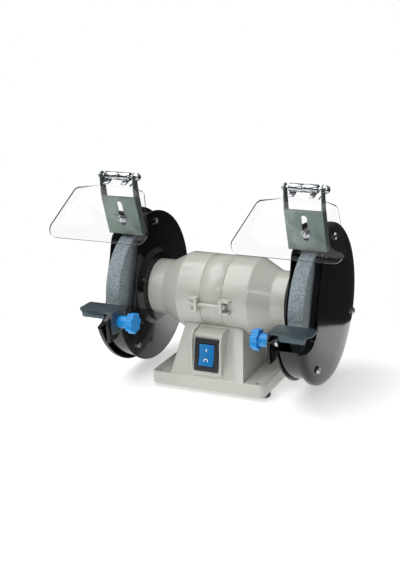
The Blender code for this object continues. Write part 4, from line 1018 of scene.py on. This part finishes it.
@dataclass
class Shields:
    """Clear shields and the bright sleeves that swing them."""

    pane_normal: Vector = field(default_factory=lambda: Vector((0, -0.79, 0.61)))
    flange_normal: Vector = field(default_factory=lambda: Vector((0, -0.23, 0.97)))
    pane_share: float = 0.4
    flange_share: float = 0.75
    smooth: float = math.radians(50)

    def is_edge(self, normal: Vector) -> bool:
        """Tell whether a face lies on the sheet's cut edge."""
        return (abs(normal.dot(self.pane_normal)) < self.pane_share
                and abs(normal.dot(self.flange_normal)) < self.flange_share)

    def pane(self, hand: Hand, finishes: Finishes) -> None:
        """Make one shield with clear faces and a cut edge coloured violet-grey as painted shade and
        reflection.

        Args:
            hand: which end.
            finishes: the shared finishes.
        """
        bm = bmesh.new()
        bm.from_mesh(frame["nodes"][f"eye_shield_{hand.word}"].data)
        bmesh.ops.remove_doubles(bm, verts=bm.verts, dist=WELD)
        made = keep(f"clear_shield_{hand.word}", bm, Matrix.Translation(-SHAFT))
        finishes.put(made, ClearSheet())
        # second finish: violet-grey painted shade and reflection on the sheet's cut edge
        finishes.put(made, PAINTED_EDGE_SHADE, 1)
        for face in made.data.polygons:
            face.material_index = int(self.is_edge(face.normal))
        made.data.shade_smooth()
        made.data.set_sharp_from_angle(angle=self.smooth)
        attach(made, f"shield_{hand.word}")
        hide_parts(f"eye_shield_{hand.word}")

    def dress(self, finishes: Finishes) -> None:
        """Make both shields and finish their sleeves.

        Args:
            finishes: the shared finishes.
        """
        for hand in Hand:
            self.pane(hand, finishes)
            finishes.put(soften(frame["nodes"][f"shield_sleeve_{hand.word}"], 0.35 * MM, 2),
                         CHROME)
        LOG.info("shields finished")


@dataclass
class Rests:
    """Tool rests with their arms, clamping bolts and star knobs."""

    axis: Point2 = (-127.5 * MM, -22.7 * MM)
    knob_x: tuple[float, float, float] = (101 * MM, 112 * MM, 131 * MM)
    knob_r: float = 17 * MM
    lobes: int = 7
    dip: float = 3.1 * MM
    hub_r: float = 10.5 * MM
    bore: float = 4.35 * MM
    bore_floor: float = 3.4 * MM
    bore_end: float = 150 * MM
    lobe_steps: int = 16

    def knob(self, hand: Hand, finishes: Finishes) -> None:
        """Mould one star knob on its hub.

        Args:
            hand: which end.
            finishes: the shared finishes.
        """
        side = hand.sign
        at = Matrix.Translation((0, *self.axis))
        outer, star, hub = self.knob_x
        count = self.lobes * self.lobe_steps
        loop = []
        for k in range(count):
            angle = math.tau * k / count
            r = self.knob_r - self.dip * (1 - math.cos(self.lobes * angle)) / 2
            loop.append((r * math.cos(angle), r * math.sin(angle)))
        made = slab(f"star_knob_{hand.word}", [loop], side * outer, side * star, Plane.SIDE, at)
        combine(made, [rod("hub", (side * (star - MM), 0, 0), (side * hub, 0, 0), self.hub_r, 48,
                           self.hub_r * 0.92, at)], "UNION")
        combine(made, [rod("bore", (side * (outer + self.bore_floor), 0, 0),
                           (side * self.bore_end, 0, 0),
                           self.bore, 32, None, at)], "DIFFERENCE")
        finishes.put(soften(made, 1.3 * MM, 4, 50), BLUE)
        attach(made, f"knob_{hand.word}")
        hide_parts(f"rest_knob_{hand.word}")

    def dress(self, finishes: Finishes) -> None:
        """Build the knobs and finish the rests, arms and bolts.

        Args:
            finishes: the shared finishes.
        """
        for hand in Hand:
            self.knob(hand, finishes)
            nodes = frame["nodes"]
            finishes.put(soften(nodes[f"tool_rest_{hand.word}"], 0.7 * MM), REST)
            finishes.put(soften(nodes[f"rest_arm_{hand.word}"], 0.6 * MM), BLACK)
            finishes.put(soften(nodes[f"rest_bolt_{hand.word}"], 0.5 * MM), CHROME)
        LOG.info("rests finished")


# ---- studio

@dataclass
class Studio:
    """Pale floor, soft boxes and the camera."""

    azimuth: float = math.radians(24.73)
    elevation: float = math.radians(18.02)
    roll: float = math.radians(-1.73)
    distance: float = 1.7142
    lens: float = 65.854
    shift: tuple[float, float] = (-0.0466, 0.01368)
    floor_size: float = 1.36
    floor_forward: float = 0.33
    walls: tuple[float, float] = (0.04, 0.42)
    backdrop: float = 1.0
    walls_bright: float = 0.9
    floor_sides: int = 96
    lamps: tuple[tuple, ...] = (
        ("top_box", (-0.6, -0.4, 1.7), (2.0, 1.5), 26),
        ("front_box", (-0.9, -1.4, 1.1), (0.9, 0.7), 3),
        ("strip_box", (0.5, -1.3, 0.75), (1.2, 0.05), 2.5))

    def floor(self, finishes: Finishes) -> None:
        """Lay the pale round floor the feet stand on, set forward of the machine."""
        bm = bmesh.new()
        bmesh.ops.create_circle(bm, cap_ends=True, segments=self.floor_sides,
                                 radius=self.floor_size / 2)
        made = keep("studio_floor", bm,
                    Matrix.Translation((0, -self.floor_forward, -SHAFT.z)))
        finishes.put(made, PAPER)

    def lamp(self, name: str, at: Sequence[float], size: tuple[float, float], watts: float) -> None:
        """Hang one soft box aimed at the machine.

        Args:
            name: the lamp's name.
            at: where it hangs, measured from the shaft's centre.
            size: its width and height in metres.
            watts: its power.
        """
        light = bpy.data.lights.new(name, "AREA")
        light.shape = "RECTANGLE"
        light.size, light.size_y = size
        light.energy = watts
        made = bpy.data.objects.new(name, light)
        made.location = SHAFT + Vector(at)
        made.rotation_mode = "QUATERNION"
        made.rotation_quaternion = Vector(at).to_track_quat("Z", "Y")
        bpy.context.scene.collection.objects.link(made)

    def camera(self) -> None:
        """Set the camera looking down at the machine from its front right."""
        a, e, r = self.azimuth, self.elevation, self.roll
        back = Vector((math.sin(a) * math.cos(e), -math.cos(a) * math.cos(e), math.sin(e)))
        right = Vector((math.cos(a), math.sin(a), 0))
        up = back.cross(right)
        x_axis = right * math.cos(r) + up * math.sin(r)
        y_axis = up * math.cos(r) - right * math.sin(r)
        lens = bpy.data.cameras.new("studio_camera")
        lens.lens = self.lens
        lens.shift_x, lens.shift_y = self.shift
        made = bpy.data.objects.new("studio_camera", lens)
        turn = Matrix((x_axis, y_axis, back)).transposed().to_4x4()
        made.matrix_world = Matrix.Translation(SHAFT + back * self.distance) @ turn
        bpy.context.scene.collection.objects.link(made)
        bpy.context.scene.camera = made

    def world(self) -> None:
        """Show a white backdrop to the camera and light the rest with walls dim toward the floor."""
        made = bpy.data.worlds.new("studio")
        made.use_nodes = True
        tree = made.node_tree
        walls = tree.nodes["Background"]
        way = add_node(tree, "ShaderNodeTexCoord").outputs["Generated"]
        height = add_node(tree, "ShaderNodeSeparateXYZ", links={"Vector": way}).outputs["Z"]
        glow = add_node(tree, "ShaderNodeMapRange",
                        values={"From Min": 0.0, "From Max": self.walls_bright, "To Min": self.walls[0],
                                "To Max": self.walls[1]},
                        links={"Value": height}).outputs["Result"]
        tree.links.new(glow, walls.inputs["Strength"])
        walls.inputs["Color"].default_value = linear("#FFFFFF")
        backdrop = add_node(tree, "ShaderNodeBackground",
                            values={"Color": linear("#FFFFFF"),
                                    "Strength": self.backdrop}).outputs["Background"]
        seen = add_node(tree, "ShaderNodeLightPath").outputs["Is Camera Ray"]
        mixed = add_node(tree, "ShaderNodeMixShader",
                         links={0: seen, 1: walls.outputs["Background"], 2: backdrop})
        tree.links.new(mixed.outputs["Shader"], tree.nodes["World Output"].inputs["Surface"])
        bpy.context.scene.world = made

    def build(self, finishes: Finishes) -> None:
        """Set the whole studio up.

        Args:
            finishes: the shared finishes.
        """
        self.world()
        self.floor(finishes)
        for name, at, size, watts in self.lamps:
            self.lamp(name, at, size, watts)
        self.camera()
        bpy.context.scene.view_settings.view_transform = "Standard"
        LOG.info("studio ready")


def main() -> None:
    """Build every sub-assembly in order, then the studio."""
    logging.basicConfig(level=logging.INFO, format="%(message)s")
    finishes = Finishes()
    base = Base()
    base.dress(finishes)
    base.print_marks(finishes)
    Motor().dress(finishes)
    Wheels().dress(finishes)
    brackets = Brackets()
    Guards().dress(brackets, finishes)
    brackets.dress(finishes)
    Shields().dress(finishes)
    Rests().dress(finishes)
    Studio().build(finishes)


if __name__ == "__main__":
    main()
